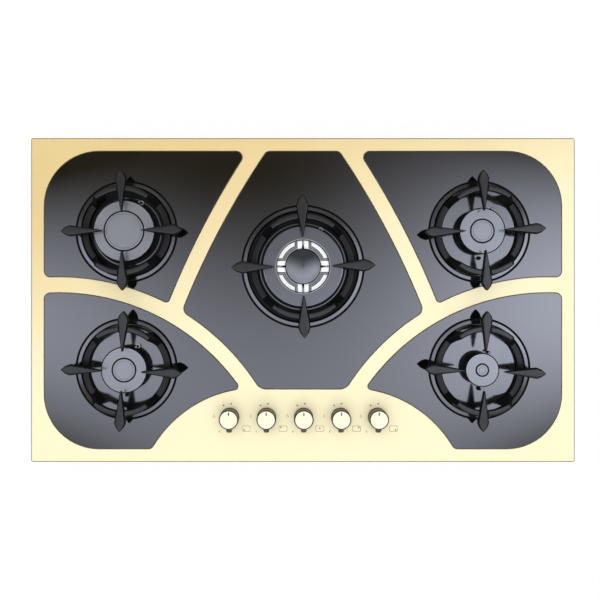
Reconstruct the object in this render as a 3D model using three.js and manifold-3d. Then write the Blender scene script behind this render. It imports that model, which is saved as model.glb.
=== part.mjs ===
// A built-in gas cooktop with five burners: a brushed plate with five inlaid black glass panels,
// a drip bowl, burner and cast pan support in each panel, and five knobs along the front.
// Millimetres, +Z up, +X to the right, the knobs at -Y. The origin is at the middle of the
// housing's underside.
import * as THREE from "three";
import { mergeVertices } from "three/addons/utils/BufferGeometryUtils.js";
import Module from "manifold-3d";

const wasm = await Module();
wasm.setup();

// Facets
const bowlFacets = 24;
const capFacets = 24;
const baseFacets = 16;
const knobFacets = 20;
const rodFacets = 12;
const ringFacets = 32;
const smallFacets = 8;
const hexagon = 6;
const pipeSteps = 10;

// Fits
const fitGap = 0.3; // between two pieces where one stands in or beside the other
const seatGap = 0.2; // under a piece that only rests by its weight
const chordError = 0.35; // how far a straight step may leave an arc
const overshoot = 2; // how far a cutting body runs past what it cuts

// Plate and housing
const plateWidth = 890;
const plateDepth = 530;
const plateSheet = 1;
const rimDrop = 7;
const plateCornerRadius = 3;
const overhang = 30; // of the plate, past the housing
const housingWidth = plateWidth - 2 * overhang;
const housingDepth = plateDepth - 2 * overhang;
const housingHeight = 56;
const housingSheet = 1.2;

// Glass panels: straight borders along the plate's edges, and arcs
const glassThickness = 4;
const glassProud = 0.3;
const panelBorder = 21.5; // of bare plate, outside the panels
const bandWidth = 26.2; // of bare plate, between two panels
const panelSide = plateWidth / 2 - panelBorder;
const panelEnd = plateDepth / 2 - panelBorder;
const largeCorner = 90;
const smallCorner = 10;
const tipCorner = 6;
const flankCorner = 13;
const frontCorner = 20;

// The bands between the rear and the front panels: arcs that rise to a crest near the side borders
const waistRadius = 374.2;
const waistInset = 23.5; // from the crest to a panel's side border
const waistCrest = 25; // behind the plate's middle
// The bands between the side and the centre panels: flat arcs, given by a point that they run
// through and the direction of that point from the arc's centre
const flankRadius = 1361;
const flankDirection = { x: 1240, y: 561 };
const flankShift = 39.8; // from halfway between the burners to the point
const flankLead = 6.8; // from the middle burner forward to the point
// The bare field round the knobs: two arcs with their crests behind the outer knobs
const controlRadius = 197.5;
const controlCrestX = 76;
const controlCrestLead = 47.3; // from the knobs' axes back to the crest
const centrePanelLead = 45.3; // from the knobs' axes back to the centre panel

// Burners and their seats. A cap has its radius and its raised boss's. A seat has its bowl's rim, the
// gap between the support's ring and the bowl's wall, how far the fingers' tips reach past the rim and
// their widest places past the ring, the radius of their inner ends, and their width.
const largeCap = { radius: 50, boss: 33 };
const mediumCap = { radius: 37.5, boss: 20 };
const smallCap = { radius: 27.5, boss: 11 };
const crownCap = { radius: 65 };
const smallSeat = {
  bowlRadius: 83.5,
  ringGap: 1.35,
  tipReach: 12.5,
  wideReach: 15,
  inner: 31,
  width: 17,
};
const largeSeat = {
  bowlRadius: 101,
  ringGap: 6.05,
  tipReach: 13.5,
  wideReach: 16.7,
  inner: 46.7,
  width: 19.5,
};
const landWidth = 8;
const burnerInset = 51.6; // from a bowl's rim to its panel's side border
const rearBurnerLead = 3.2; // from the waist's crest back to a rear bowl's rim
const frontBurnerLead = 53.8; // from the waist's crest forward to a front bowl's rim
const middleRow = 54.6; // the middle burner, behind the plate's middle

// Pan supports
const supportHeight = 45; // finger tops above the plate
const fingerHeight = 11;
const fingerEndWidth = 3;
const archStep = 2.5; // arch tops below the finger tops
const archHeight = 9;
const archWidth = 9.5;
const lowRingWidth = 11.5;
const lowRingHeight = 9;
const legSlopeTop = 0.62; // where the leg's slope starts and ends, as shares of the ring's radius
const legSlopeFoot = 0.78;
const legInside = 0.54;
const legTaper = 3; // how far a leg's inner side leans in
const bandLap = 6; // how far the low ring runs into the legs
const shoulderAhead = 5; // a finger's rounded shoulder, before and behind its widest place
const shoulderBehind = 9;
const shoulderDrop = 2;
const shoulderTaper = 0.6;
const webThickness = 7;

// Drip bowls
const bowlSheet = 1;
const bowlDepth = 6;
const bowlBead = 2.2;
const bowlBeadWidth = 1.3;
const bowlLandSlope = 1.4;
const bowlClearance = 1.3; // between a bowl's wall and the glass round it
const collarClearance = 1; // between a bowl's middle hole and the burner in it

// Burners
const capTop = 23; // outer caps above the plate
const capThickness = 5;
const capChamfer = 1.2;
const capBossRise = 1;
const capSkirt = 2;
const skirtClearance = 1.6; // between a cap's skirt and the ring round it
const crownToothHeight = 6;
const crownWall = 7;
const crownSeatRise = 3; // a flame ring's underside above the bowl's floor
const crownRim = 2; // a cap's overhang past its flame ring
const crownSheet = 3;
const crownFootInset = 2; // a flame ring's foot inside the bowl's hole
const crownMouth = 5; // a ring's opening past the bore of its base
const portWidth = 3;
const portPitch = 18;
const fewestPorts = 12;
const portSill = 0.5;
const baseFlange = 2;
const baseStem = 9;
const baseBore = 3;
const baseBottom = 14; // above the housing's underside
const stemMargin = 5; // from the supply pipe's axis up to the mixing cup
const electrodeAngle = 64;
const electrodeClearance = 3; // from the cap's edge to the electrode's axis
const electrodeRadius = 2.2;
const electrodeTipRadius = 1;
const electrodeTop = 14; // above the plate
const electrodeBodyTop = 6;
const electrodeCone = 1;
const flangeMargin = 2; // of the base's flange, past the electrode

// Triple-crown burner in the middle
const ringCapInner = 45;
const innerCapRadius = 29;
const innerCapDome = 3;
const domeShares = [[1, 0], [0.72, 0.62], [0.36, 0.92], [0, 1]]; // of its radius and height
const bridgeWidth = 18.4;
const bridgeNotch = 2.6;
const bridgeNotchDepth = 3;
const hubRadius = 26;
const bridgeDrop = 2;
const bridgeLift = 1; // a bridge's underside above the ring's

// Knobs, spindles and taps
const knobPitch = 60.2;
const knobRowShift = 1;
const knobRowInset = 74; // from the plate's front edge to the knobs' axes
const knobRadius = 15.7;
const knobTop = 33; // above the plate
const knobTravel = 4;
const knobClearance = 0.6; // under a knob that is pushed in
const knobFloat = knobTravel + knobClearance; // the knob's underside above the plate
const knobChamfer = 1.4;
const knobSkirtStep = 0.8;
const knobSkirtHeight = 5;
const lugRoot = 10; // the lug starts this far from the knob's axis
const lugReach = 5.3;
const lugWidth = 10;
const lugEndWidth = 6.5;
const lugDrop = 8; // from the knob's top to the lug's outer end
const lugSlopeStart = 4;
const lugStep = 1;
const tickWidth = 1.4;
const tickLength = 5.8;
const tickStart = 7.2;
const tickDepth = 0.4;
const boreClearance = 0.5; // over the spindle's end with the knob pushed in
const spindleRadius = 4;
const spindleFlat = 1.2;
const spindleTop = 24; // above the plate
const spindleHoleGap = 2; // round the spindle, in the plate
const spindleDepth = 12; // of its seat in the tap
const tapWidth = 26;
const tapLength = 30;
const tapClearance = 4; // from a tap up to the plate
const tapNeckRadius = 8;
const tapNeckHeight = 3;
const tapOutletRadius = 5;
const tapOutletLength = 9;
const tapOutletRise = 7; // from the gas rail's top to the outlet's axis

// Gas rail, supply pipes and ignition
const railRadius = 8;
const railHeight = 18;
const railEnd = 30; // past the outer taps
const inletInset = 35; // from the housing's side wall
const inletReach = 20; // past the housing's rear wall
const inletRadius = 10.5;
const inletBore = 7.5;
const inletDepth = 18;
const inletCollar = 15;
const inletCollarLength = 8;
const inletLap = 10; // the pipe's run into the inlet, and the inlet's run inside the wall
const elbowShare = 1.08; // of the rail's radius
const pipeRadius = 3;
const pipeLead = 22; // straight run at both ends of a supply pipe
const moduleSize = [90, 46, 24];
const moduleX = -150;
const moduleInset = 85; // from the housing's rear wall to its middle
const terminalSize = [6, 10, 5];
const terminalMargin = 8;
const terminalShares = [-1, -0.5, 0, 0.5, 1];
const terminalLap = 1;

// Levels that follow from these
const wellFloor = housingHeight + plateSheet;
const plateTop = wellFloor + glassThickness - glassProud;
const glassTop = wellFloor + glassThickness;
const bowlFloor = glassTop - bowlDepth;
const fingerTop = plateTop + supportHeight;
const outerCapTop = plateTop + capTop;
const crownTop = outerCapTop - capThickness - seatGap;
const crownSeat = bowlFloor + crownSeatRise;
const railTop = railHeight + railRadius;
const pipeHeight = railTop + tapOutletRise;
const tapTop = housingHeight - tapClearance;
const spindleFoot = tapTop - spindleDepth;

// Places that follow from these
const knobRow = knobRowInset - plateDepth / 2;
const inletX = housingWidth / 2 - inletInset;
const burnerSide = panelSide - burnerInset - smallSeat.bowlRadius;
const rearRow = waistCrest + rearBurnerLead + smallSeat.bowlRadius;
const frontRow = waistCrest - frontBurnerLead - smallSeat.bowlRadius;
const waistArc = {
  x: panelSide - waistInset,
  y: waistCrest - waistRadius,
  radius: waistRadius,
};
const flankShare = flankRadius / Math.hypot(flankDirection.x, flankDirection.y);
const flankArc = {
  x: burnerSide / 2 + flankShift - flankDirection.x * flankShare,
  y: middleRow - flankLead - flankDirection.y * flankShare,
  radius: flankRadius,
};
const controlArc = {
  x: controlCrestX,
  y: knobRow + controlCrestLead - controlRadius,
  radius: controlRadius,
};

// The five burners. Turn is how far each support is turned in its bowl, in degrees.
const burners = [
  { name: "rear_left", x: -burnerSide, y: rearRow, turn: 0.7, cap: largeCap, seat: smallSeat },
  { name: "front_left", x: -burnerSide, y: frontRow, turn: -1.8, cap: mediumCap, seat: smallSeat },
  { name: "centre", x: 0, y: middleRow, turn: 1, cap: crownCap, seat: largeSeat },
  { name: "rear_right", x: burnerSide, y: rearRow, turn: 1.8, cap: mediumCap, seat: smallSeat },
  { name: "front_right", x: burnerSide, y: frontRow, turn: -2.1, cap: smallCap, seat: smallSeat },
];
for (const seat of [smallSeat, largeSeat]) {
  seat.wall = seat.bowlRadius - landWidth;
  seat.ring = seat.wall - bowlLandSlope - seat.ringGap - lowRingWidth / 2;
  seat.tip = seat.bowlRadius + seat.tipReach;
  seat.wide = seat.ring + seat.wideReach;
}
for (const burner of burners) {
  burner.large = burner.seat === largeSeat;
  burner.crownRadius = burner.cap.radius - crownRim;
  burner.holeRadius = burner.crownRadius - crownWall;
}
const burnerNamed = Object.fromEntries(burners.map((burner) => [burner.name, burner]));
const knobOrder = ["front_left", "rear_left", "centre", "rear_right", "front_right"];

const finish = (color, roughness, metalness) =>
  new THREE.MeshStandardMaterial({ color, roughness, metalness });
const materials = {
  goldSteel: finish(0xe9d293, 0.3, 1),
  glass: finish(0x17171a, 0.04, 0),
  castIron: finish(0x3b3b3f, 0.7, 0),
  bowlEnamel: finish(0x5a5b62, 0.12, 0),
  capEnamel: finish(0x63646c, 0.22, 0),
  chrome: finish(0xdcdce0, 0.08, 1),
  aluminium: finish(0xb9babd, 0.35, 1),
  brass: finish(0xb99a55, 0.3, 1),
  steel: finish(0x9fa3a8, 0.4, 1),
  ceramic: finish(0xeeeae2, 0.3, 0),
  plastic: finish(0x2a2b2e, 0.5, 0),
};

// ---- Solids ----

// A closed three.js geometry as a solid, turned outwards.
function solidOf(geometry) {
  const bare = geometry.index ? geometry.toNonIndexed() : geometry.clone();
  bare.deleteAttribute("normal");
  bare.deleteAttribute("uv");
  const merged = mergeVertices(bare, 1e-4);
  const order = [];
  for (let i = 0; i < merged.index.count; i += 3) {
    const [a, b, c] = merged.index.array.slice(i, i + 3);
    if (a !== b && b !== c && c !== a) order.push([a, b, c]);
  }
  const build = (faces) =>
    new wasm.Manifold(
      new wasm.Mesh({
        numProp: 3,
        vertProperties: merged.attributes.position.array,
        triVerts: new Uint32Array(faces.flat()),
      }),
    );
  const solid = build(order);
  return solid.volume() > 0 ? solid : build(order.map(([a, b, c]) => [a, c, b]));
}

function geometryOf(solid) {
  const mesh = solid.getMesh();
  const geometry = new THREE.BufferGeometry();
  geometry.setAttribute("position", new THREE.BufferAttribute(mesh.vertProperties, 3));
  geometry.setIndex(new THREE.BufferAttribute(mesh.triVerts, 1));
  const flat = geometry.toNonIndexed();
  flat.computeVertexNormals();
  return flat;
}

const join = (solids) => solids.reduce((sum, solid) => sum.add(solid));

// An outline in XY, with holes, raised from one height to another.
function slab(outline, low, high, holes = []) {
  const shape = new THREE.Shape(outline);
  shape.holes = holes.map((hole) => new THREE.Path(hole));
  const geometry = new THREE.ExtrudeGeometry(shape, { depth: high - low, bevelEnabled: false });
  return solidOf(geometry.translate(0, 0, low));
}

// An outline in XZ, run along Y from one place to another.
function wall(outline, near, far) {
  const geometry = new THREE.ExtrudeGeometry(new THREE.Shape(outline), {
    depth: far - near,
    bevelEnabled: false,
  });
  return solidOf(geometry.rotateX(Math.PI / 2).translate(0, far, 0));
}

function box(sizeX, sizeY, sizeZ, x, y, low) {
  return solidOf(new THREE.BoxGeometry(sizeX, sizeY, sizeZ).translate(x, y, low + sizeZ / 2));
}

// A profile of [radius, height] pairs turned round Z.
function turned(profile, segments) {
  const points = profile.map(([radius, height]) => new THREE.Vector2(radius, height));
  if (profile.every(([radius]) => radius > 0)) points.push(points[0].clone());
  return solidOf(new THREE.LatheGeometry(points, segments).rotateX(Math.PI / 2));
}

function post(radius, low, high, segments = rodFacets) {
  const geometry = new THREE.CylinderGeometry(radius, radius, high - low, segments);
  return solidOf(geometry.rotateX(Math.PI / 2).translate(0, 0, (low + high) / 2));
}

function rodAlongX(radius, from, to, y, z, segments = rodFacets) {
  const geometry = new THREE.CylinderGeometry(radius, radius, to - from, segments);
  return solidOf(geometry.rotateZ(Math.PI / 2).translate((from + to) / 2, y, z));
}

function rodAlongY(radius, from, to, x, z, segments = rodFacets) {
  const geometry = new THREE.CylinderGeometry(radius, radius, to - from, segments);
  return solidOf(geometry.translate(x, (from + to) / 2, z));
}

// ---- Outlines ----

const at = (x, y) => new THREE.Vector2(x, y);
const along = (centre, radius, angle) =>
  at(centre.x + radius * Math.cos(angle), centre.y + radius * Math.sin(angle));

// Points on an arc, the short way round, in steps that stay within the chord error.
function arc(centre, from, to) {
  const radius = from.distanceTo(centre);
  const start = Math.atan2(from.y - centre.y, from.x - centre.x);
  const end = Math.atan2(to.y - centre.y, to.x - centre.x);
  const sweep = Math.atan2(Math.sin(end - start), Math.cos(end - start));
  const step = 2 * Math.acos(1 - Math.min(chordError / radius, 0.5));
  const count = Math.max(1, Math.ceil(Math.abs(sweep) / step));
  return Array.from({ length: count + 1 }, (_, i) => along(centre, radius, start + (sweep * i) / count));
}

function circle(radius, segments, x = 0, y = 0) {
  return Array.from({ length: segments }, (_, i) => along(at(x, y), radius, (2 * Math.PI * i) / segments));
}

// An edge is a line through a point with its normal into the outline, or a circle with side 1
// where the outline lies inside it and -1 where it lies outside.
const line = (x, y, normalX, normalY) => ({ point: at(x, y), normal: at(normalX, normalY) });
const round = (centre, radius, side) => ({ centre, radius, side });

function inset(edge, distance) {
  if (edge.centre) return round(edge.centre, edge.radius - edge.side * distance, edge.side);
  return { ...edge, point: edge.point.clone().addScaledVector(edge.normal, distance) };
}

// The point on an edge nearest to a given point.
function foot(edge, point) {
  if (edge.centre) {
    const out = point.clone().sub(edge.centre).setLength(edge.radius);
    return out.add(edge.centre);
  }
  const height = point.clone().sub(edge.point).dot(edge.normal);
  return point.clone().addScaledVector(edge.normal, -height);
}

// Where two edges cross, at the crossing nearest to a given point.
function crossing(a, b, near) {
  if (!a.centre && !b.centre) {
    const across = at(-a.normal.y, a.normal.x);
    const reach = b.point.clone().sub(a.point).dot(b.normal) / across.dot(b.normal);
    return a.point.clone().addScaledVector(across, reach);
  }
  const [arcEdge, other] = a.centre ? [a, b] : [b, a];
  let middle = foot(other, arcEdge.centre);
  let direction = other.normal && at(-other.normal.y, other.normal.x);
  if (other.centre) {
    const gap = other.centre.clone().sub(arcEdge.centre);
    const length = gap.length();
    const share = (arcEdge.radius ** 2 - other.radius ** 2 + length ** 2) / (2 * length);
    middle = arcEdge.centre.clone().addScaledVector(gap, share / length);
    direction = at(-gap.y, gap.x).normalize();
  }
  const reach = Math.sqrt(arcEdge.radius ** 2 - middle.distanceToSquared(arcEdge.centre));
  const [first, second] = [1, -1].map((sign) => middle.clone().addScaledVector(direction, sign * reach));
  return first.distanceTo(near) < second.distanceTo(near) ? first : second;
}

// A closed outline of edges, each with the radius of the corner that follows it.
function rounded(edges, radii, near) {
  const corners = edges.map((edge, i) => {
    const next = edges[(i + 1) % edges.length];
    const centre = crossing(inset(edge, radii[i]), inset(next, radii[i]), near);
    return { centre, from: foot(edge, centre), to: foot(next, centre) };
  });
  const points = [];
  corners.forEach((corner, i) => {
    points.push(...arc(corner.centre, corner.from, corner.to));
    const next = corners[(i + 1) % corners.length];
    const edge = edges[(i + 1) % edges.length];
    if (edge.centre) points.push(...arc(edge.centre, corner.to, next.from).slice(1, -1));
  });
  return points;
}

function rectangle(width, depth) {
  const [x, y] = [width / 2, depth / 2];
  return [at(-x, -y), at(x, -y), at(x, y), at(-x, y)];
}

// The outline of the panel round a burner, drawn in by a distance on all sides.
function panelOutline(burner, drawnIn) {
  const side = Math.sign(burner.x);
  const half = bandWidth / 2;
  const mirrored = (arcShape, sign) => at(sign * arcShape.x, arcShape.y);
  const rear = line(0, panelEnd, 0, -1);
  let edges;
  let radii;
  if (burner.large) {
    const flank = (sign) => round(mirrored(flankArc, sign), flankArc.radius - half, 1);
    const waist = (sign) => round(mirrored(waistArc, sign), waistArc.radius + half, -1);
    const front = line(0, knobRow + centrePanelLead, 0, 1);
    edges = [rear, flank(-1), waist(-1), front, waist(1), flank(1)];
    radii = [smallCorner, flankCorner, frontCorner, frontCorner, flankCorner, smallCorner];
  } else if (burner.y > 0) {
    const waist = round(mirrored(waistArc, side), waistArc.radius + half, -1);
    const flank = round(mirrored(flankArc, side), flankArc.radius + half, -1);
    edges = [line(side * panelSide, 0, -side, 0), waist, flank, rear];
    radii = [smallCorner, tipCorner, smallCorner, largeCorner];
  } else {
    const control = round(mirrored(controlArc, side), controlArc.radius, -1);
    const waist = round(mirrored(waistArc, side), waistArc.radius - half, 1);
    edges = [line(side * panelSide, 0, -side, 0), line(0, -panelEnd, 0, 1), control, waist];
    radii = [largeCorner, smallCorner, tipCorner, smallCorner];
  }
  const moved = edges.map((edge) => inset(edge, drawnIn));
  return rounded(moved, radii.map((radius) => radius - drawnIn), at(burner.x, burner.y));
}

// ---- Plate, glass and housing ----

const bowlHole = (burner) =>
  circle(burner.seat.wall + bowlSheet + bowlClearance, ringFacets, burner.x, burner.y);
const knobX = (index) => knobRowShift + (index - (knobOrder.length - 1) / 2) * knobPitch;

function topPlate() {
  const border = [line(-plateWidth / 2, 0, 1, 0), line(0, -plateDepth / 2, 0, 1)];
  border.push(line(plateWidth / 2, 0, -1, 0), line(0, plateDepth / 2, 0, -1));
  const edge = (drawnIn) =>
    rounded(
      border.map((side) => inset(side, drawnIn)),
      border.map(() => plateCornerRadius - drawnIn),
      at(0, 0),
    );
  const rimBottom = plateTop - rimDrop;
  const shell = slab(edge(0), rimBottom, plateTop);
  const inside = slab(edge(plateSheet), rimBottom - overshoot, plateTop - plateSheet);
  const trays = burners.map((burner) =>
    slab(panelOutline(burner, -fitGap - plateSheet), housingHeight, plateTop - plateSheet),
  );
  const wells = burners.map((burner) =>
    slab(panelOutline(burner, -fitGap), wellFloor, plateTop + overshoot),
  );
  const openings = burners.map((burner) =>
    slab(bowlHole(burner), housingHeight - overshoot, wellFloor + overshoot),
  );
  const spindleHoles = knobOrder.map((_, i) =>
    post(spindleRadius + spindleHoleGap, plateTop - overshoot, plateTop + overshoot, baseFacets).translate([
      knobX(i),
      knobRow,
      0,
    ]),
  );
  return shell
    .subtract(inside)
    .add(join(trays))
    .subtract(join([...wells, ...openings, ...spindleHoles]));
}

function glassPanel(burner) {
  return slab(panelOutline(burner, 0), wellFloor, glassTop, [bowlHole(burner)]);
}

function housing() {
  const outer = rectangle(housingWidth, housingDepth);
  const inner = rectangle(housingWidth - 2 * housingSheet, housingDepth - 2 * housingSheet);
  const rearWall = housingDepth / 2;
  const [from, to] = [rearWall - overshoot, rearWall + overshoot];
  const inletHole = rodAlongY(inletRadius + fitGap, from, to, inletX, railHeight);
  return slab(outer, 0, housingHeight)
    .subtract(slab(inner, housingSheet, housingHeight + overshoot))
    .subtract(inletHole);
}

// ---- Bowls and burners ----

function dripBowl(burner) {
  const rim = burner.seat.bowlRadius;
  const inside = burner.seat.wall;
  const bottom = bowlFloor - bowlSheet;
  const bowl = turned(
    [
      [rim, glassTop],
      [rim, glassTop + bowlBead],
      [rim - bowlBeadWidth, glassTop + bowlSheet],
      [inside + bowlSheet, glassTop + bowlSheet],
      [inside - bowlLandSlope, bowlFloor],
      [burner.holeRadius, bowlFloor],
      [burner.holeRadius, bottom],
      [inside - bowlLandSlope + bowlSheet / 2, bottom],
      [inside + bowlSheet, glassTop],
    ],
    bowlFacets,
  );
  const holeOutline = circle(electrodeRadius + fitGap, smallFacets);
  const hole = slab(holeOutline, bottom - overshoot, bowlFloor + overshoot);
  return bowl.subtract(hole.translate([...electrodeSpot(burner), 0]));
}

function electrodeSpot(burner) {
  const angle = THREE.MathUtils.degToRad(electrodeAngle);
  return along(at(0, 0), burner.cap.radius + electrodeClearance, angle).toArray();
}

// The burner's lower body: a mixing cup on a stem, with a flange under the bowl.
function burnerBase(burner) {
  const flangeTop = bowlFloor - bowlSheet;
  const flangeRadius = burner.cap.radius + electrodeClearance + electrodeRadius + flangeMargin;
  const collar = burner.holeRadius - collarClearance;
  return turned(
    [
      [baseBore, baseBottom],
      [baseStem, baseBottom],
      [baseStem, pipeHeight + stemMargin],
      [collar, flangeTop - baseFlange],
      [flangeRadius, flangeTop - baseFlange],
      [flangeRadius, flangeTop],
      [collar, flangeTop],
      [collar, crownSeat],
      [baseBore, crownSeat],
    ],
    baseFacets,
  );
}

// Radial slots through a ring's wall, one in the middle of each of its facets.
function flamePorts(count, outer, inner) {
  const low = crownTop - crownToothHeight + portSill;
  const length = outer - inner + 2 * overshoot;
  const slot = box(length, portWidth, crownToothHeight, (outer + inner) / 2, 0, low);
  const turns = Array.from({ length: count }, (_, i) => (360 * (i + 0.5)) / count - 90);
  return join(turns.map((angle) => slot.rotate([0, 0, angle])));
}

const portCount = (burner) =>
  Math.max(fewestPorts, Math.round((2 * Math.PI * burner.crownRadius) / portPitch));

function flameRing(burner) {
  const outer = burner.crownRadius;
  const inner = outer - crownWall;
  const shoulder = crownTop - crownToothHeight;
  const mouth = baseBore + crownMouth;
  const body = turned(
    [
      [mouth, crownSeat],
      [burner.holeRadius - crownFootInset, crownSeat],
      [outer, shoulder],
      [outer, crownTop],
      [inner, crownTop],
      [inner, shoulder],
      [mouth, crownSeat + crownSheet],
    ],
    portCount(burner),
  );
  return body.subtract(flamePorts(portCount(burner), outer, inner));
}

// The middle burner's ring: an outer and an inner crown, joined by four notched bridges.
function tripleFlameRing(burner) {
  const inner = ringCapInner + crownRim;
  const outer = burner.crownRadius;
  const mouth = baseBore + crownMouth;
  const sheetTop = crownSeat + crownSheet;
  const crowns = turned(
    [
      [mouth, crownSeat],
      [outer - crownSheet, crownSeat],
      [outer, sheetTop],
      [outer, crownTop],
      [inner, crownTop],
      [inner, sheetTop],
      [hubRadius, sheetTop],
      [hubRadius, crownTop],
      [mouth, crownTop],
    ],
    portCount(burner),
  );
  const bridgeTop = crownTop - bridgeDrop;
  const bridgeLow = crownSeat + bridgeLift;
  const reach = inner - hubRadius + overshoot;
  const middle = (inner + hubRadius) / 2;
  const notchLow = bridgeTop - bridgeNotchDepth;
  const notch = box(reach + overshoot, bridgeNotch, bridgeNotchDepth + overshoot, middle, 0, notchLow);
  const bridge = box(reach, bridgeWidth, bridgeTop - bridgeLow, middle, 0, bridgeLow).subtract(notch);
  const bridges = [0, 90, 180, 270].map((angle) => bridge.rotate([0, 0, angle]));
  return crowns.subtract(flamePorts(portCount(burner), outer, inner)).add(join(bridges));
}

function burnerCap(burner) {
  const radius = burner.cap.radius;
  const bottom = outerCapTop - capThickness;
  const skirt = burner.crownRadius - crownWall - skirtClearance;
  const edgeTop = outerCapTop - capBossRise;
  return turned(
    [
      [0, bottom - capSkirt],
      [skirt, bottom - capSkirt],
      [skirt, bottom],
      [radius, bottom],
      [radius, edgeTop - capChamfer],
      [radius - capChamfer, edgeTop],
      [burner.cap.boss + 1, edgeTop],
      [burner.cap.boss, outerCapTop],
      [0, outerCapTop],
    ],
    capFacets,
  );
}

function ringCap(burner) {
  const radius = burner.cap.radius;
  const bottom = outerCapTop - capThickness;
  return turned(
    [
      [ringCapInner, bottom],
      [radius, bottom],
      [radius, outerCapTop - capChamfer],
      [radius - capChamfer, outerCapTop],
      [ringCapInner + capChamfer, outerCapTop],
      [ringCapInner, outerCapTop - capChamfer],
    ],
    bowlFacets,
  );
}

function innerCap() {
  const bottom = outerCapTop - capThickness;
  const edgeTop = outerCapTop - capChamfer;
  const dome = domeShares.map(([out, up]) => [innerCapRadius * out, edgeTop + innerCapDome * up]);
  return turned([[0, bottom], [innerCapRadius, bottom], ...dome], capFacets);
}

function electrode(burner) {
  const foot = bowlFloor - bowlSheet;
  const pin = turned(
    [
      [0, foot],
      [electrodeRadius, foot],
      [electrodeRadius, plateTop + electrodeBodyTop],
      [electrodeTipRadius, plateTop + electrodeBodyTop + electrodeCone],
      [electrodeTipRadius, plateTop + electrodeTop],
      [0, plateTop + electrodeTop],
    ],
    smallFacets,
  );
  return pin.translate([...electrodeSpot(burner), 0]);
}

// ---- Pan supports ----

// One finger along +X, seen from above: a pointed outer end, then a long taper inwards.
function fingerOutline(seat) {
  const half = seat.width / 2;
  const end = fingerEndWidth / 2;
  const shape = new THREE.Shape();
  shape.moveTo(seat.tip, 0);
  const ahead = seat.wide + shoulderAhead;
  const behind = seat.wide - shoulderBehind;
  shape.lineTo(ahead, half - shoulderDrop);
  shape.quadraticCurveTo(seat.wide, half, behind, half - shoulderTaper);
  shape.lineTo(seat.inner + end, end);
  shape.lineTo(seat.inner, 0);
  shape.lineTo(seat.inner + end, -end);
  shape.lineTo(behind, shoulderTaper - half);
  shape.quadraticCurveTo(seat.wide, -half, ahead, shoulderDrop - half);
  return shape.getPoints(3);
}

// The ring's side view: low at the left and right, and raised into an arch between its legs.
function ringBand(seat, width, outline) {
  const ring = slab(circle(seat.ring + width / 2, ringFacets), bowlFloor, fingerTop, [
    circle(seat.ring - width / 2, ringFacets),
  ]);
  return ring.intersect(wall(outline, -seat.bowlRadius, seat.bowlRadius));
}

function panSupport(burner) {
  const seat = burner.seat;
  const low = bowlFloor + seatGap;
  const ringTop = low + lowRingHeight;
  const archTop = fingerTop - archStep;
  const slopeTop = seat.ring * legSlopeTop;
  const slopeFoot = seat.ring * legSlopeFoot;
  const inside = seat.ring * legInside;
  const sideRing = (sign) =>
    ringBand(seat, lowRingWidth, [
      at(sign * (slopeFoot - bandLap), low),
      at(sign * seat.bowlRadius, low),
      at(sign * seat.bowlRadius, ringTop),
      at(sign * (slopeFoot - bandLap), ringTop),
    ]);
  const arches = ringBand(seat, archWidth, [
    at(-slopeFoot, low),
    at(-inside, low),
    at(legTaper - inside, archTop - archHeight),
    at(inside - legTaper, archTop - archHeight),
    at(inside, low),
    at(slopeFoot, low),
    at(slopeFoot, ringTop),
    at(slopeTop, archTop),
    at(-slopeTop, archTop),
    at(-slopeFoot, ringTop),
  ]);
  const finger = slab(fingerOutline(seat), fingerTop - fingerHeight, fingerTop);
  const fingers = [0, 90, 180, 270].map((angle) => finger.rotate([0, 0, angle]));
  const webs = [1, -1].map((sign) =>
    box(lowRingWidth, webThickness, fingerTop - fingerHeight / 2 - low, sign * seat.ring, 0, low),
  );
  return join([sideRing(1), sideRing(-1), arches, ...fingers, ...webs]);
}

// ---- Knobs, spindles and taps ----

// A round bar with one flat, for the spindle's upper end and the knob's bore.
function flattedBar(radius, flatDepth, low, high) {
  const height = high - low + 2 * overshoot;
  const cut = box(4 * radius, 2 * radius, height, 0, 2 * radius - flatDepth, low - overshoot);
  return post(radius, low, high).subtract(cut);
}

function spindle() {
  const flatFoot = plateTop + knobFloat - knobTravel - fitGap;
  return join([
    post(spindleRadius, spindleFoot, flatFoot),
    flattedBar(spindleRadius, spindleFlat, flatFoot - overshoot, plateTop + spindleTop),
  ]);
}

function knob() {
  const bottom = plateTop + knobFloat;
  const top = plateTop + knobTop;
  const skirtTop = bottom + knobSkirtHeight;
  const body = turned(
    [
      [0, bottom],
      [knobRadius, bottom],
      [knobRadius, skirtTop],
      [knobRadius - knobSkirtStep, skirtTop + knobSkirtStep],
      [knobRadius, top - knobChamfer],
      [knobRadius - knobChamfer, top],
      [0, top],
    ],
    knobFacets,
  );
  const reach = knobRadius + lugReach;
  const [rootHalf, endHalf] = [lugWidth / 2, lugEndWidth / 2];
  const lugPlan = [at(lugRoot, -rootHalf), at(reach, -endHalf), at(reach, endHalf), at(lugRoot, rootHalf)];
  const lugSide = [
    at(lugRoot, skirtTop),
    at(reach, skirtTop),
    at(reach, top - lugDrop),
    at(lugRoot + lugSlopeStart, top - lugStep),
    at(lugRoot, top - lugStep),
  ];
  const lug = slab(lugPlan, bottom, top).intersect(wall(lugSide, -lugWidth, lugWidth)).rotate([0, 0, -90]);
  const boreTop = plateTop + spindleTop + knobTravel + boreClearance;
  const bore = flattedBar(spindleRadius + fitGap, spindleFlat, bottom - overshoot, boreTop);
  const tick = box(tickWidth, tickLength, 2 * tickDepth, 0, tickStart + tickLength / 2, top - tickDepth);
  return body.add(lug).subtract(bore).subtract(tick);
}

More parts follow.
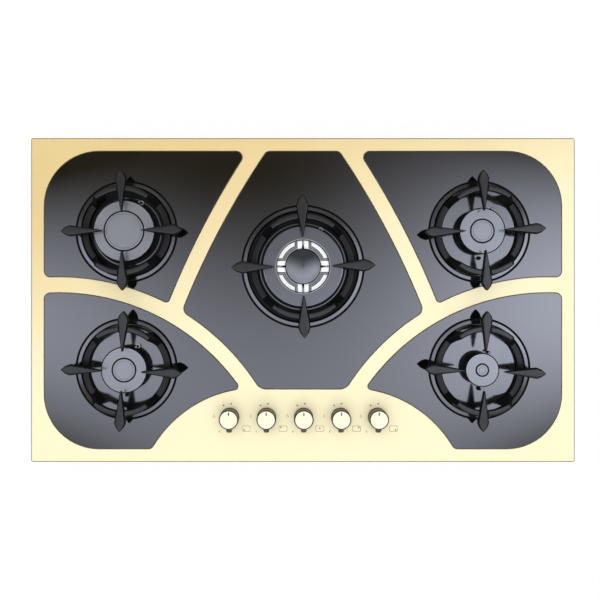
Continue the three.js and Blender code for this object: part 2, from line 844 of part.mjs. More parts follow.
function gasTap() {
  const body = box(tapWidth, tapLength, tapTop - tapNeckHeight - railTop, 0, 0, railTop);
  const neck = post(tapNeckRadius, tapTop - tapNeckHeight - overshoot, tapTop);
  const outletEnd = tapLength / 2 + tapOutletLength;
  const outlet = rodAlongY(tapOutletRadius, 0, outletEnd, 0, pipeHeight, smallFacets);
  const bore = post(spindleRadius + fitGap, spindleFoot - fitGap, tapTop + overshoot);
  return join([body, neck, outlet]).subtract(bore);
}

// ---- Gas rail, supply pipes and ignition ----

function gasRail() {
  const left = knobX(0) - railEnd;
  const rearWall = housingDepth / 2;
  const inletEnd = rearWall + inletReach;
  const collarEnd = rearWall + fitGap + inletCollarLength;
  const elbow = new THREE.SphereGeometry(railRadius * elbowShare, rodFacets, smallFacets);
  return join([
    rodAlongX(railRadius, left, inletX, knobRow, railHeight),
    rodAlongY(railRadius, knobRow, rearWall - inletLap, inletX, railHeight),
    solidOf(elbow.translate(inletX, knobRow, railHeight)),
    rodAlongY(inletRadius, rearWall - 2 * inletLap, inletEnd, inletX, railHeight),
    rodAlongY(inletCollar, rearWall + fitGap, collarEnd, inletX, railHeight, hexagon),
  ]).subtract(rodAlongY(inletBore, inletEnd - inletDepth, inletEnd + overshoot, inletX, railHeight));
}

// From a tap's outlet to the side of its burner's stem.
function supplyPipe(index) {
  const burner = burnerNamed[knobOrder[index]];
  const outlet = knobRow + tapLength / 2 + tapOutletLength + fitGap;
  const start = new THREE.Vector3(knobX(index), outlet, pipeHeight);
  const lead = start.clone().add(new THREE.Vector3(0, pipeLead, 0));
  const target = new THREE.Vector3(burner.x, burner.y, pipeHeight);
  const back = lead.clone().sub(target).normalize();
  const end = target.clone().addScaledVector(back, baseStem + fitGap);
  const approach = end.clone().addScaledVector(back, pipeLead);
  const path = new THREE.CatmullRomCurve3([start, lead, approach, end], false, "centripetal");
  const section = new THREE.Shape(circle(pipeRadius, hexagon));
  const options = { steps: pipeSteps, extrudePath: path, bevelEnabled: false };
  return solidOf(new THREE.ExtrudeGeometry(section, options));
}

function ignitionModule() {
  const [sizeX, sizeY, sizeZ] = moduleSize;
  const [x, y] = [moduleX, housingDepth / 2 - moduleInset];
  const body = box(sizeX, sizeY, sizeZ, x, y, housingSheet);
  const terminalY = y + (sizeY + terminalSize[1]) / 2 - terminalLap;
  const terminals = terminalShares.map((share) =>
    box(...terminalSize, x + share * (sizeX / 2 - terminalMargin), terminalY, housingSheet + sizeZ / 2),
  );
  return join([body, ...terminals]);
}

// ---- The assembly ----

const cooktop = new THREE.Group();

function place(name, solid, material, parent = cooktop) {
  const mesh = new THREE.Mesh(geometryOf(solid), material);
  mesh.name = name;
  parent.add(mesh);
}

place("top_plate", topPlate(), materials.goldSteel);
place("housing", housing(), materials.steel);
place("gas_rail", gasRail(), materials.steel);
place("ignition_module", ignitionModule(), materials.plastic);

for (const burner of burners) {
  place(`glass_panel_${burner.name}`, glassPanel(burner), materials.glass);
  const spot = new THREE.Group();
  spot.position.set(burner.x, burner.y, 0);
  cooktop.add(spot);
  place(`drip_bowl_${burner.name}`, dripBowl(burner), materials.bowlEnamel, spot);
  place(`burner_base_${burner.name}`, burnerBase(burner), materials.aluminium, spot);
  place(`electrode_${burner.name}`, electrode(burner), materials.ceramic, spot);
  if (burner.large) {
    place("flame_ring_centre", tripleFlameRing(burner), materials.chrome, spot);
    place("ring_cap_centre", ringCap(burner), materials.capEnamel, spot);
    place("inner_cap_centre", innerCap(), materials.capEnamel, spot);
  } else {
    place(`flame_ring_${burner.name}`, flameRing(burner), materials.aluminium, spot);
    place(`burner_cap_${burner.name}`, burnerCap(burner), materials.capEnamel, spot);
  }
  const turn = new THREE.Group();
  turn.rotation.z = THREE.MathUtils.degToRad(burner.turn);
  spot.add(turn);
  place(`pan_support_${burner.name}`, panSupport(burner), materials.castIron, turn);
}

knobOrder.forEach((name, index) => {
  const spot = new THREE.Group();
  spot.position.set(knobX(index), knobRow, 0);
  cooktop.add(spot);
  place(`gas_tap_${name}`, gasTap(), materials.brass, spot);
  place(`spindle_${name}`, spindle(), materials.steel, spot);
  place(`knob_${name}`, knob(), materials.chrome, spot);
  place(`supply_pipe_${name}`, supplyPipe(index), materials.aluminium);
});

export default cooktop;
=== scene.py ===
import math

import bmesh
import bpy
import numpy as np
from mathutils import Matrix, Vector
from mathutils.geometry import tessellate_polygon


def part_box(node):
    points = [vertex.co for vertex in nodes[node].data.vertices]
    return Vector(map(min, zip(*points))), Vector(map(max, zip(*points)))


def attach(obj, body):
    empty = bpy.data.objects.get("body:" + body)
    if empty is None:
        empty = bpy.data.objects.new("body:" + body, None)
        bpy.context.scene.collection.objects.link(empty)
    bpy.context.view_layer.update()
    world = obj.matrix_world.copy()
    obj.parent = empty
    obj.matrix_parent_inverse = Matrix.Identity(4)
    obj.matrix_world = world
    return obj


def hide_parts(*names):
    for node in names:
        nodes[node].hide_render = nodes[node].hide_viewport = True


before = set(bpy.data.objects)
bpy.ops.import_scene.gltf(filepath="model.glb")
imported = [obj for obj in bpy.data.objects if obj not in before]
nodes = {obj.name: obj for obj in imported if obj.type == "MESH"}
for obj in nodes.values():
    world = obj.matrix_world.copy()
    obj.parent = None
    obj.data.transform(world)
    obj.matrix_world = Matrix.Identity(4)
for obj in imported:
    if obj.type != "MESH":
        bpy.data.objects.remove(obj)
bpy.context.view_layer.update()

rootBody = "cooktop"

# Everything below is worked out in millimetres in the frame's axes, and the meshes are in metres.
mm = 0.001
sheet = 1.0  # of the plate and the bowls
burnerNames = ["rear_left", "front_left", "centre", "rear_right", "front_right"]
knobNames = ["front_left", "rear_left", "centre", "rear_right", "front_right"]


def middleOf(node):
    low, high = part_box(node)
    return (low + high) / 2 / mm


def topOf(node):
    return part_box(node)[1].z / mm


def footOf(node):
    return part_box(node)[0].z / mm


levels = {
    "plate": topOf("top_plate"),
    "rim": footOf("top_plate"),
    "well": footOf("glass_panel_centre"),
    "glass": topOf("glass_panel_centre"),
    "bowl": footOf("drip_bowl_centre") + sheet,
    "capTop": topOf("ring_cap_centre"),
    "finger": topOf("pan_support_centre"),
    "knobFoot": footOf("knob_centre"),
    "knobTop": topOf("knob_centre"),
}
centres = {name: complex(*middleOf("drip_bowl_" + name)[:2]) for name in burnerNames}


def spotOf(name):
    return centres[name].real, centres[name].imag


def knobSpot(name):
    return complex(*middleOf("spindle_" + name)[:2])


class Wire:
    # A socket in a node tree. The operators add Math nodes.
    def __init__(self, tree, socket):
        self.tree = tree
        self.socket = socket

    # Any node: its type, its settings, which are set first, its sockets' values or links, and
    # the output.
    def node(self, kind, settings, sockets, output=0):
        made = self.tree.nodes.new(kind)
        for key, value in settings.items():
            setattr(made, key, value)
        for key, value in sockets.items():
            if isinstance(value, Wire):
                self.tree.links.new(value.socket, made.inputs[key])
            else:
                made.inputs[key].default_value = value
        return Wire(self.tree, made.outputs[output]) if len(made.outputs) else None

    def math(self, operation, first, second=0.0):
        return self.node("ShaderNodeMath", {"operation": operation}, {0: first, 1: second})

    def __add__(self, other): return self.math("ADD", self, other)
    def __radd__(self, other): return self.math("ADD", other, self)
    def __sub__(self, other): return self.math("SUBTRACT", self, other)
    def __rsub__(self, other): return self.math("SUBTRACT", other, self)
    def __mul__(self, other): return self.math("MULTIPLY", self, other)
    def __rmul__(self, other): return self.math("MULTIPLY", other, self)
    def __truediv__(self, other): return self.math("DIVIDE", self, other)
    def __rtruediv__(self, other): return self.math("DIVIDE", other, self)

    def root(self): return self.math("SQRT", self)
    def largest(self, other): return self.math("MAXIMUM", self, other)
    def smallest(self, other): return self.math("MINIMUM", self, other)

    # From 0 at low to 1 at high, with soft ends.
    def ramp(self, low, high):
        settings = {"interpolation_type": "SMOOTHSTEP"}
        return self.node("ShaderNodeMapRange", settings, {0: self, 1: low, 2: high, 3: 0.0, 4: 1.0})

    def blend(self, first, second):
        settings = {"data_type": "RGBA"}
        return self.node("ShaderNodeMix", settings, {0: self, 6: first, 7: second}, 2)

    # Object coordinates, in metres.
    def place(self):
        return self.node("ShaderNodeTexCoord", {}, {}, 3)

    def noise(self, scale, stretch=(1, 1, 1), detail=3.0, rough=0.5):
        mapped = self.node("ShaderNodeMapping", {}, {0: self.place(), 3: stretch})
        sockets = {"Vector": mapped, "Scale": scale, "Detail": detail, "Roughness": rough}
        return self.node("ShaderNodeTexNoise", {}, sockets)

    def cells(self, scale):
        sockets = {"Vector": self.place(), "Scale": scale}
        return self.node("ShaderNodeTexVoronoi", {}, sockets, 1)

    def part(self, index):
        return self.node("ShaderNodeSeparateXYZ", {}, {0: self}, index)

    def bump(self, height, strength, distance):
        sockets = {"Strength": strength, "Distance": distance, "Height": height}
        return self.node("ShaderNodeBump", {}, sockets)


def rgb(text):
    # A hexadecimal colour as written, in the linear numbers that a socket takes.
    parts = [int(text[i:i + 2], 16) / 255 for i in (0, 2, 4)]
    return [p / 12.92 if p <= 0.04045 else ((p + 0.055) / 1.055) ** 2.4 for p in parts] + [1.0]


def emptyTree(tree):
    tree.nodes.clear()
    return Wire(tree, None)


# A finish: fixed values go straight onto the shader, and the recipe returns what varies. The
# tones are the recipe's own colours and roughness.
def makeFinish(name, fixed, recipe, *tones):
    made = bpy.data.materials.new(name)
    made.use_nodes = True
    tree = emptyTree(made.node_tree)
    shader = tree.node("ShaderNodeBsdfPrincipled", {}, {**fixed, **recipe(tree, *tones)})
    tree.node("ShaderNodeOutputMaterial", {}, {0: shader})
    return made


# patch is the colour of a painted sheen, and the last row places it: paler towards the front right,
# where the light falls brighter.
goldLook = {
    "dark": "d6ba74", "light": "f2daa2", "patch": "fff9d3", "roughness": 0.46, "metallic": 0.1,
    "streak": (26, (1, 60, 60), 4.0, 0.62), "fine": (60, (1, 70, 70), 2.0, 0.7),
    "sheenSlope": (0.45, 1.3), "sheenRamp": (0.42, -0.05),
}


def goldRecipe(tree):
    # Long fine streaks along X over slow patches, and a painted sheen that pales the gold towards
    # the front right, where the light falls brighter.
    look = goldLook
    streak = tree.noise(*look["streak"])
    fine = tree.noise(*look["fine"])
    patch = tree.noise(5.5, detail=2.0)
    place = tree.place()
    # Painted sheen: a ramp across the plate that blends in the pale colour towards the front right.
    alongX, alongY = look["sheenSlope"]
    paintedSheen = (place.part(1) * alongY - place.part(0) * alongX).ramp(*look["sheenRamp"])
    tone = streak * 0.45 + fine * 0.2 + patch * 0.5 - 0.08
    colour = tone.blend(rgb(look["dark"]), rgb(look["light"]))
    colour = (paintedSheen * 0.8).blend(colour, rgb(look["patch"]))
    height = streak * 0.5 + fine
    return {
        "Base Color": colour,
        "Roughness": streak * 0.12 + fine * 0.08 + (look["roughness"] - 0.1),
        "Normal": tree.bump(height, 0.10, 0.00004),
    }


def glassRecipe(tree):
    # Nearly even: a faint haze of dust and wiping.
    haze = tree.noise(9, detail=4.0)
    fine = tree.noise(700, detail=2.0)
    return {
        "Base Color": haze.blend(rgb("060608"), rgb("0b0b0e")),
        "Roughness": (haze * 0.03) + 0.012 + fine.ramp(0.66, 0.8) * 0.05,
    }


def enamelRecipe(tree, dark, light, rough, orange=0.02):
    # Fired enamel: slow tone changes, small specks and a slight orange peel.
    tone = tree.noise(22)
    peel = tree.noise(240, detail=1.0)
    speck = tree.noise(1500, detail=1.0).ramp(0.68, 0.78)
    return {
        "Base Color": (tone * 0.8 + speck * 0.2).blend(rgb(dark), rgb(light)),
        "Roughness": tone * 0.06 + speck * 0.1 + (rough - 0.03),
        "Normal": tree.bump(peel, orange, 0.0002),
    }


def ironRecipe(tree):
    # Cast grain under a glaze whose gloss is painted as light and shade: full high up and on faces
    # turned up, thinner low down and on the sides, so the low ring and the sides look shaded.
    grain = tree.noise(900, detail=4.0, rough=0.65)
    lump = tree.noise(160)
    slow = tree.noise(30, detail=2.0)
    high = tree.place().part(2).ramp(0.074, 0.088)
    facing = tree.node("ShaderNodeNewGeometry", {}, {}, "Normal").part(2).ramp(0.91, 0.985)
    edge = tree.node("ShaderNodeNewGeometry", {}, {}, "Pointiness").ramp(0.53, 0.62)
    colour = (slow * 0.5 + grain * 0.5).blend(rgb("0b0b0c"), rgb("151517"))
    colour = (edge * 0.06).blend(colour, rgb("38383c"))
    return {
        "Base Color": colour,
        "Roughness": grain * 0.2 + 0.46 - edge * 0.1,
        "Coat Weight": (high * 0.5 + slow * 0.1 + 0.42) * facing,
        "Normal": tree.bump(grain * 0.5 + lump * 0.8, 0.1, 0.0004),
    }


def aluminiumRecipe(tree):
    # Sand-cast grain with slow stains.
    grain = tree.noise(1300, detail=2.0)
    stain = tree.noise(60)
    return {
        "Base Color": (stain * 0.7 + grain * 0.3).blend(rgb("8f9093"), rgb("c9cacd")),
        "Roughness": grain * 0.14 + stain * 0.1 + 0.26,
        "Normal": tree.bump(grain, 0.08, 0.0002),
    }


def chromeRecipe(tree, dark, light, rough):
    # Plating with slow smears and a fine haze.
    smear = tree.noise(75, detail=4.0)
    fine = tree.noise(1800, detail=1.0)
    return {
        "Base Color": smear.blend(rgb(dark), rgb(light)),
        "Roughness": smear * 0.06 + fine * 0.03 + (rough - 0.04),
    }


def zincRecipe(tree):
    # Spangles: cells of slightly different grey and gloss.
    spangle = tree.cells(95).part(0)
    small = tree.cells(260).part(1)
    slow = tree.noise(8)
    tone = spangle * 0.5 + small * 0.2 + slow * 0.3
    return {
        "Base Color": tone.blend(rgb("7d8184"), rgb("b9bcbe")),
        "Roughness": spangle * 0.14 + slow * 0.1 + 0.3,
        "Normal": tree.bump(spangle * 0.6 + small * 0.4, 0.06, 0.0003),
    }


def brassRecipe(tree):
    # Turning marks along Z under stains.
    turned = tree.noise(30, (1, 1, 90), 3.0)
    stain = tree.noise(55)
    return {
        "Base Color": (turned * 0.4 + stain * 0.6).blend(rgb("97773a"), rgb("d3b26b")),
        "Roughness": turned * 0.14 + stain * 0.12 + 0.2,
        "Normal": tree.bump(turned, 0.1, 0.0001),
    }


def ceramicRecipe(tree):
    # Even glaze.
    tone = tree.noise(300, detail=2.0)
    return {
        "Base Color": tone.blend(rgb("d8d2c4"), rgb("f4f1ea")),
        "Roughness": tone * 0.12 + 0.2,
    }


def plasticRecipe(tree, dark="1d1d1f", light="2b2b2e", rough=0.5):
    # Fine grain over slow tone changes.
    grain = tree.noise(1600, detail=2.0)
    slow = tree.noise(25, detail=2.0)
    return {
        "Base Color": (grain * 0.3 + slow * 0.7).blend(rgb(dark), rgb(light)),
        "Roughness": grain * 0.14 + (rough - 0.07),
        "Normal": tree.bump(grain, 0.12, 0.0002),
    }


def domeRecipe(tree):
    # Grey enamel with a painted reflection of dark surroundings: a soft darker streak from the
    # middle to the rear, and painted shade over the rear.
    place = tree.place()
    across = place.part(0) - centres["centre"].real * mm
    aside = across.math("ABSOLUTE", across)
    rear = place.part(1) - centres["centre"].imag * mm
    # Both masks are painted: the streak stands for a dark reflection, the other for the rear
    # falling into shade.
    streak = aside.ramp(0.007, 0.001) * rear.ramp(-0.006, 0.001) * 0.75
    paintedShade = (rear - aside * 0.4).ramp(-0.02, 0.014) * 0.9
    tone = tree.noise(60)
    colour = tone.blend(rgb("989aa4"), rgb("a6a8b2"))
    return {
        "Base Color": streak.largest(paintedShade).blend(colour, rgb("2a2b2e")),
        "Roughness": tone * 0.06 + 0.2,
    }


def discRecipe(tree):
    # A knob's end face: satin plating, almost white.
    slow = tree.noise(40, detail=2.0)
    fine = tree.noise(1400, detail=1.0)
    return {
        "Base Color": slow.blend(rgb("eeecce"), rgb("f6f6dc")),
        "Roughness": fine * 0.08 + slow * 0.08 + 0.3,
    }


# Each finish: its name, what is the same all over it, its recipe and the recipe's tones.
finishTable = {
    "gold": ("brushedGold", {"Metallic": goldLook["metallic"]}, goldRecipe),
    # The plate's rolled edges: a dark olive, painted as the shade line along them.
    "goldEdge": ("goldEdge", {"Metallic": 0.6}, chromeRecipe, "584d2f", "746641", 0.4),
    "glass": ("blackGlass", {"IOR": 2.5, "Specular IOR Level": 1.0}, glassRecipe),
    "bowl": ("bowlEnamel", {"Metallic": 1.0}, enamelRecipe, "a5a6a7", "b7b8b9", 0.1, 0.01),
    # Painted shade on the floor round two of the caps.
    "bowlDark": ("bowlDark", {"Metallic": 0.6}, enamelRecipe, "1b1b1d", "2c2c30", 0.3, 0.01),
    "rim": ("rimBlack", {"IOR": 1.2}, plasticRecipe, "060608", "0e0e10", 0.45),
    "cap": ("capEnamel", {"Metallic": 0.74}, enamelRecipe, "aeb0b8", "c2c4cc", 0.2),
    "darkCap": ("darkCapEnamel", {"Metallic": 1.0}, enamelRecipe, "aaacb0", "b6b8bd", 0.16),
    "dome": ("domeEnamel", {"Metallic": 0.5}, domeRecipe),
    "iron": ("castIron", {"IOR": 1.18, "Coat IOR": 2.0, "Coat Roughness": 0.22}, ironRecipe),
    "aluminium": ("castAluminium", {"Metallic": 1.0}, aluminiumRecipe),
    # The castings under the caps: painted dark to stand for the shade they lie in.
    "ring": ("ringCasting", {"Metallic": 1.0}, enamelRecipe, "2c2c2e", "48484a", 0.4, 0.06),
    "chrome": ("chromePlate", {"Metallic": 0.35}, chromeRecipe, "9c9da6", "b0b1b8", 0.34),
    # Painted light on the triple crown: black shade at its steps, notches and rim, and white for
    # the bright reflection on its floors and bridges.
    "chromeStep": ("chromeStep", {"Metallic": 1.0}, chromeRecipe, "101012", "1c1c20", 0.4),
    "chromeWhite": ("chromeWhite", {"Coat Weight": 0.3}, chromeRecipe, "fafaff", "ffffff", 0.3),
    # The knob's side, edge and lug: painted dark for the dark reflections of a chrome side.
    "knobSide": ("knobSide", {"Metallic": 0.4}, chromeRecipe, "322925", "5a4e49", 0.35),
    "knobDisc": ("knobDisc", {"Metallic": 0.05}, discRecipe),
    "ink": ("printInk", {}, plasticRecipe, "5a5140", "6d6450", 0.5),
    "tick": ("tickInk", {}, plasticRecipe, "352a25", "453833", 0.5),
    "paleInk": ("palePrintInk", {}, plasticRecipe, "796f56", "877c62", 0.5),
    "zinc": ("zincSteel", {"Metallic": 1.0}, zincRecipe),
    "brass": ("machinedBrass", {"Metallic": 1.0}, brassRecipe),
    "ceramic": ("glazedCeramic", {"Coat Weight": 0.5}, ceramicRecipe),
    "plastic": ("blackPlastic", {}, plasticRecipe),
    "foam": ("sealFoam", {}, plasticRecipe, "141415", "202022", 0.85),
}
finishes = {key: makeFinish(*row) for key, row in finishTable.items()}
print("finishes", len(finishes))


flatKind = 100  # added to the kind of a face that is shaded flat
meshLook = {
    "mergeWithin": 2e-7,  # metres
    "sliver": 1e-9,
    "straight": 1e-6,
    "reach": 0.48,  # the share of a line that a rounding may take
    "guard": 0.3, "guardShare": 0.02,
}


def gridFaces(rows, columns, wrapRows, wrapColumns):
    # Each face joins a grid point with its neighbours in the next row and column.
    r = np.arange(rows if wrapRows else rows - 1)[:, None]
    c = np.arange(columns if wrapColumns else columns - 1)[None, :]
    nextR, nextC = (r + 1) % rows, (c + 1) % columns
    corners = [r * columns + c, r * columns + nextC, nextR * columns + nextC, nextR * columns + c]
    shape = (r.shape[0], c.shape[1])
    return np.stack([np.broadcast_to(corner, shape) for corner in corners], -1).reshape(-1, 4)


def closedGrid(points, wrapRows=False, kinds=0):
    # points[row, column]: the columns run round, and open rows are closed at both ends with a
    # fan to their middle. kinds is the finish of each row of faces.
    rows, columns = points.shape[:2]
    if not wrapRows:
        ends = [points[:1].mean(1, keepdims=True), points[-1:].mean(1, keepdims=True)]
        points = np.concatenate([ends[0].repeat(columns, 1), points, ends[1].repeat(columns, 1)])
        rows += 2
        if np.ndim(kinds):
            kinds = np.concatenate([kinds[:1], kinds, kinds[-1:]])
    faces = gridFaces(rows, columns, wrapRows, True)
    kindOfFace = np.repeat(np.broadcast_to(kinds, len(faces) // columns), columns)
    return facingOut(points.reshape(-1, 3), faces, kindOfFace)


def facingOut(points, faces, kinds):
    # The volume under the faces, as a sum of tetrahedra from the origin, is positive when they
    # face out.
    a, b, c, d = (points[faces[:, i]] for i in (0, 1, 2, -1))
    volume = np.einsum("ij,ij->", a, np.cross(b, c)) + np.einsum("ij,ij->", a, np.cross(c, d))
    return points, faces if volume > 0 else faces[:, ::-1], kinds


def lathe(profile, centre, segments, wrap=False, kinds=0, ripple=None):
    # A point (radius, height) at angle t goes to (radius cos t, radius sin t, height). ripple
    # changes the radii over the whole grid.
    turn = np.linspace(0, 2 * np.pi, segments, endpoint=False)
    radius = np.repeat(profile[:, :1], segments, 1)
    height = np.repeat(profile[:, 1:], segments, 1)
    if ripple is not None:
        radius = ripple(radius, height, turn[None, :])
    x, y = centre[0] + radius * np.cos(turn), centre[1] + radius * np.sin(turn)
    return closedGrid(np.stack([x, y, height], -1), wrap, kinds)


def softProfile(corners, wrap, steps=4):
    # Corners (x, y, radius[, kind]) joined by straight lines, each corner replaced by an arc of
    # its radius that touches both lines, with a point just before and after it that keeps the
    # lines' shading flat. Returns the points and the kind of the piece that follows each.
    points, kinds = [], []
    count = len(corners)
    for i, corner in enumerate(corners):
        spot = np.array(corner[:2], float)
        kind = corner[3] if len(corner) > 3 else 0
        back = np.array(corners[i - 1][:2]) - spot
        ahead = np.array(corners[(i + 1) % count][:2]) - spot
        lengths = np.linalg.norm(back), np.linalg.norm(ahead)
        back, ahead = back / lengths[0], ahead / lengths[1]
        straight = np.linalg.norm(back + ahead) < meshLook["straight"]
        if straight or not corner[2] or (not wrap and i in (0, count - 1)):
            points.append(spot[None])
            kinds.append(kind)
            continue
        half = math.acos(float(np.clip(back @ ahead, -1, 1))) / 2
        longest = [meshLook["reach"] * length for length in lengths]
        reach = min(corner[2] / math.tan(half), *longest)
        radius = reach * math.tan(half)
        share = np.linspace(-1, 1, steps + 1)[:, None] * (math.pi / 2 - half)
        bisector = (back + ahead) / np.linalg.norm(back + ahead)
        across = (ahead - back) / np.linalg.norm(ahead - back)
        middle = spot + bisector * radius / math.sin(half)
        arc = middle - bisector * radius * np.cos(share) + across * radius * np.sin(share)
        guard, guardShare = meshLook["guard"], meshLook["guardShare"]
        guards = [reach + min(guard, guardShare * length) for length in lengths]
        points += [(spot + back * guards[0])[None], arc, (spot + ahead * guards[1])[None]]
        before = corners[i - 1]
        kinds += [before[3] if len(before) > 3 else 0] + [kind] * (steps + 2)
    return np.concatenate(points), np.array(kinds)


def latheCorners(corners, centre, segments, wrap, steps=4, ripple=None):
    # A lathe of rounded corners, whose kinds are the finishes.
    profile, kinds = softProfile(corners, wrap, steps)
    return lathe(profile, centre, segments, wrap, kinds if wrap else kinds[:-1], ripple)


def flatRing(outlines, height, upward):
    # A flat face between an outer outline and holes, split into triangles.
    loops = [[Vector((p.real, p.imag, 0)) for p in loop] for loop in outlines]
    faces = np.array(tessellate_polygon(loops))
    flat = np.concatenate(outlines)
    points = np.stack([flat.real, flat.imag, np.full(len(flat), float(height))], -1)
    a, b, c = (flat[faces[:, i]] for i in range(3))
    turn = ((b - a).conjugate() * (c - a)).imag
    kept = np.abs(turn) > meshLook["sliver"]
    faces = faces[kept]
    wrong = (turn[kept] > 0) != upward
    faces[wrong] = faces[wrong][:, ::-1]
    return points, faces, np.full(len(faces), flatKind)


def wallRing(loops, heights, kinds=0, flip=False):
    # Outlines at rising or falling heights, joined into a band.
    points = np.stack([levelLoop(loop, float(height)) for loop, height in zip(loops, heights)])
    faces = gridFaces(len(loops), len(loops[0]), False, True)
    if flip:
        faces = faces[:, ::-1]
    kindOfFace = np.repeat(np.broadcast_to(kinds, len(loops) - 1), len(loops[0]))
    return points.reshape(-1, 3), faces, kindOfFace


def levelLoop(loop, height):
    # A plane outline, lifted to a height.
    return np.stack([loop.real, loop.imag, np.full(len(loop), height)], -1)


def meshOf(name, shells, angle=32):
    # Shells side by side in one mesh, with doubled points merged and creases past the angle
    # kept sharp.
    mesh = bpy.data.meshes.new(name)
    points, faces, kinds, start = [], [], [], 0
    for shellPoints, shellFaces, shellKinds in shells:
        points.append(shellPoints)
        faces += (shellFaces + start).tolist()
        kinds.append(shellKinds)
        start += len(shellPoints)
    mesh.from_pydata((np.concatenate(points) * mm).tolist(), [], faces)
    kinds = np.concatenate(kinds).astype(np.int32)
    mesh.polygons.foreach_set("material_index", kinds)
    work = bmesh.new()
    work.from_mesh(mesh)
    bmesh.ops.remove_doubles(work, verts=work.verts, dist=meshLook["mergeWithin"])
    work.to_mesh(mesh)
    work.free()
    mesh.shade_smooth()
    mesh.set_sharp_from_angle(angle=math.radians(angle))
    kinds = np.empty(len(mesh.polygons), np.int32)
    mesh.polygons.foreach_get("material_index", kinds)
    mesh.polygons.foreach_set("use_smooth", kinds < flatKind)
    mesh.polygons.foreach_set("material_index", kinds % flatKind)
    mesh.update()
    return mesh


# looks are finishes, in the order of the mesh's kinds.
def addPiece(name, mesh, looks, body, replaced=()):
    made = bpy.data.objects.new(name, mesh)
    bpy.context.scene.collection.objects.link(made)
    for look in looks:
        mesh.materials.append(finishes[look])
    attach(made, body)
    if replaced:
        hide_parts(*replaced)


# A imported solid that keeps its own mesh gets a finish.
def dress(node, look):
    mesh = nodes[node].data
    mesh.materials.clear()
    mesh.materials.append(finishes[look])


cameraLook = {
    "place": (-0.021, 0.0298, 1.3837), "lens": 48.5, "sensor": 36.0, "shift": (0.0165, -0.0303),
}


def makeCamera():
    # It looks straight down on the plate, with its view shifted a little.
    data = bpy.data.cameras.new("camera")
    data.lens = cameraLook["lens"]
    data.sensor_width = cameraLook["sensor"]
    data.shift_x, data.shift_y = cameraLook["shift"]
    camera = bpy.data.objects.new("camera", data)
    camera.location = cameraLook["place"]
    bpy.context.scene.collection.objects.link(camera)
    bpy.context.scene.camera = camera


stageLook = {
    "floor": "f4f4f3", "floorHalf": 8.0, "floorDrop": 0.0004, "floorWhite": 0.92,
    "worldLow": 0.2, "worldHigh": 2.7,
}


def rayMasks(tree):
    # 1 for rays of the camera, of gloss and through clear bodies, which see white around.
    kinds = ("Is Camera Ray", "Is Glossy Ray", "Is Transmission Ray")
    return [tree.node("ShaderNodeLightPath", {}, {}, kind) for kind in kinds]


def makeFloor():
    # Nearly white to the camera and to gloss, over plain paper that takes the shadow.
    half, low = stageLook["floorHalf"], -stageLook["floorDrop"]
    corners = [(-half, -half, low), (half, -half, low), (half, half, low), (-half, half, low)]
    mesh = bpy.data.meshes.new("floor")
    mesh.from_pydata(corners, [], [(0, 1, 2, 3)])
    floor = bpy.data.objects.new("floor", mesh)
    bpy.context.scene.collection.objects.link(floor)
    made = bpy.data.materials.new("floorPaper")
    made.use_nodes = True
    tree = emptyTree(made.node_tree)
    seen, mirrored, through = rayMasks(tree)
    direct = seen.largest(mirrored).largest(through)
    paper = tree.node("ShaderNodeBsdfDiffuse", {}, {0: rgb(stageLook["floor"])})
    white = tree.node("ShaderNodeEmission", {}, {0: (1, 1, 1, 1), 1: 1.0})
    share = direct * stageLook["floorWhite"]
    mixed = tree.node("ShaderNodeMixShader", {}, {0: share, 1: paper, 2: white})
    tree.node("ShaderNodeOutputMaterial", {}, {0: mixed})
    mesh.materials.append(made)


# What gloss sees overhead, as a smooth surface over the place (x, y) on the plate that mirrors
# it, in shares of the plate's half size. Row i of grey holds the polynomial in y that goes with
# x^i. It is dim towards the rear left and bright to the right.
skyLook = {
    "grey": [(0.347, -0.377, -0.182, 0.165, 0.102), (0.236, 0.127, -0.169, -0.124),
             (0.662, 0.155, -0.677), (-0.039, 0.016), (-0.236,)],
    "tint": [(0.945, 0.009), (1.0, 0.0), (1.21, -0.022)],
    "offset": (0.021, -0.027), "half": (0.4, 0.25), "height": 1.323, "reach": 1.15,
    "low": 0.03, "high": 1.4, "flattest": 0.05, "edge": (0.36, 0.6), "round": 0.2,
    "horizon": (0.3, 0.05),
}


def polynomial(factors, place):
    # Taken from the highest power down: times the place, plus the next factor.
    total = factors[-1]
    for factor in factors[-2::-1]:
        total = total * place + factor
    return total


def makeWorld():
    # Camera rays and clear ones see white. Gloss sees the surface overhead, at the place where a
    # ray's slopes x / z and y / z meet it, and further down a soft grey that pales to the
    # horizon. All other light grows with the fourth power of its height.
    look = skyLook
    world = bpy.data.worlds.new("studio")
    bpy.context.scene.world = world
    world.use_nodes = True
    tree = emptyTree(world.node_tree)
    seen, mirrored, through = rayMasks(tree)
    way = tree.node("ShaderNodeTexCoord", {}, {}, 0)
    up = way.part(2).largest(look["flattest"])
    u = way.part(0) / up
    v = way.part(1) / up
    places = []
    for slope, offset, half in zip((u, v), look["offset"], look["half"]):
        place = (slope * look["height"] - offset) / half
        places.append(place.largest(-look["reach"]).smallest(look["reach"]))
    x, y = places
    grey = polynomial([polynomial(row, y) for row in look["grey"]], x)
    grey = grey.largest(look["low"]).smallest(look["high"])
    red, green, blue = (grey * slope + shift for slope, shift in look["tint"])
    overhead = tree.node("ShaderNodeCombineXYZ", {}, {0: red, 1: green, 2: blue})
    tilt = (u * u + v * v).root()
    outside = tilt.ramp(*look["edge"])
    around = way.part(2).ramp(*look["horizon"]) * (1 - look["round"]) + look["round"]
    gloss = outside.blend(overhead, around)
    height = way.part(2).largest(0)
    square = height * height
    plain = square * square * stageLook["worldHigh"] + stageLook["worldLow"]
    colour = mirrored.blend(plain, gloss)
    colour = seen.largest(through).blend(colour, (1.0, 1.0, 1.0, 1.0))
    background = tree.node("ShaderNodeBackground", {}, {0: colour, 1: 1.0})
    tree.node("ShaderNodeOutputWorld", {}, {0: background})


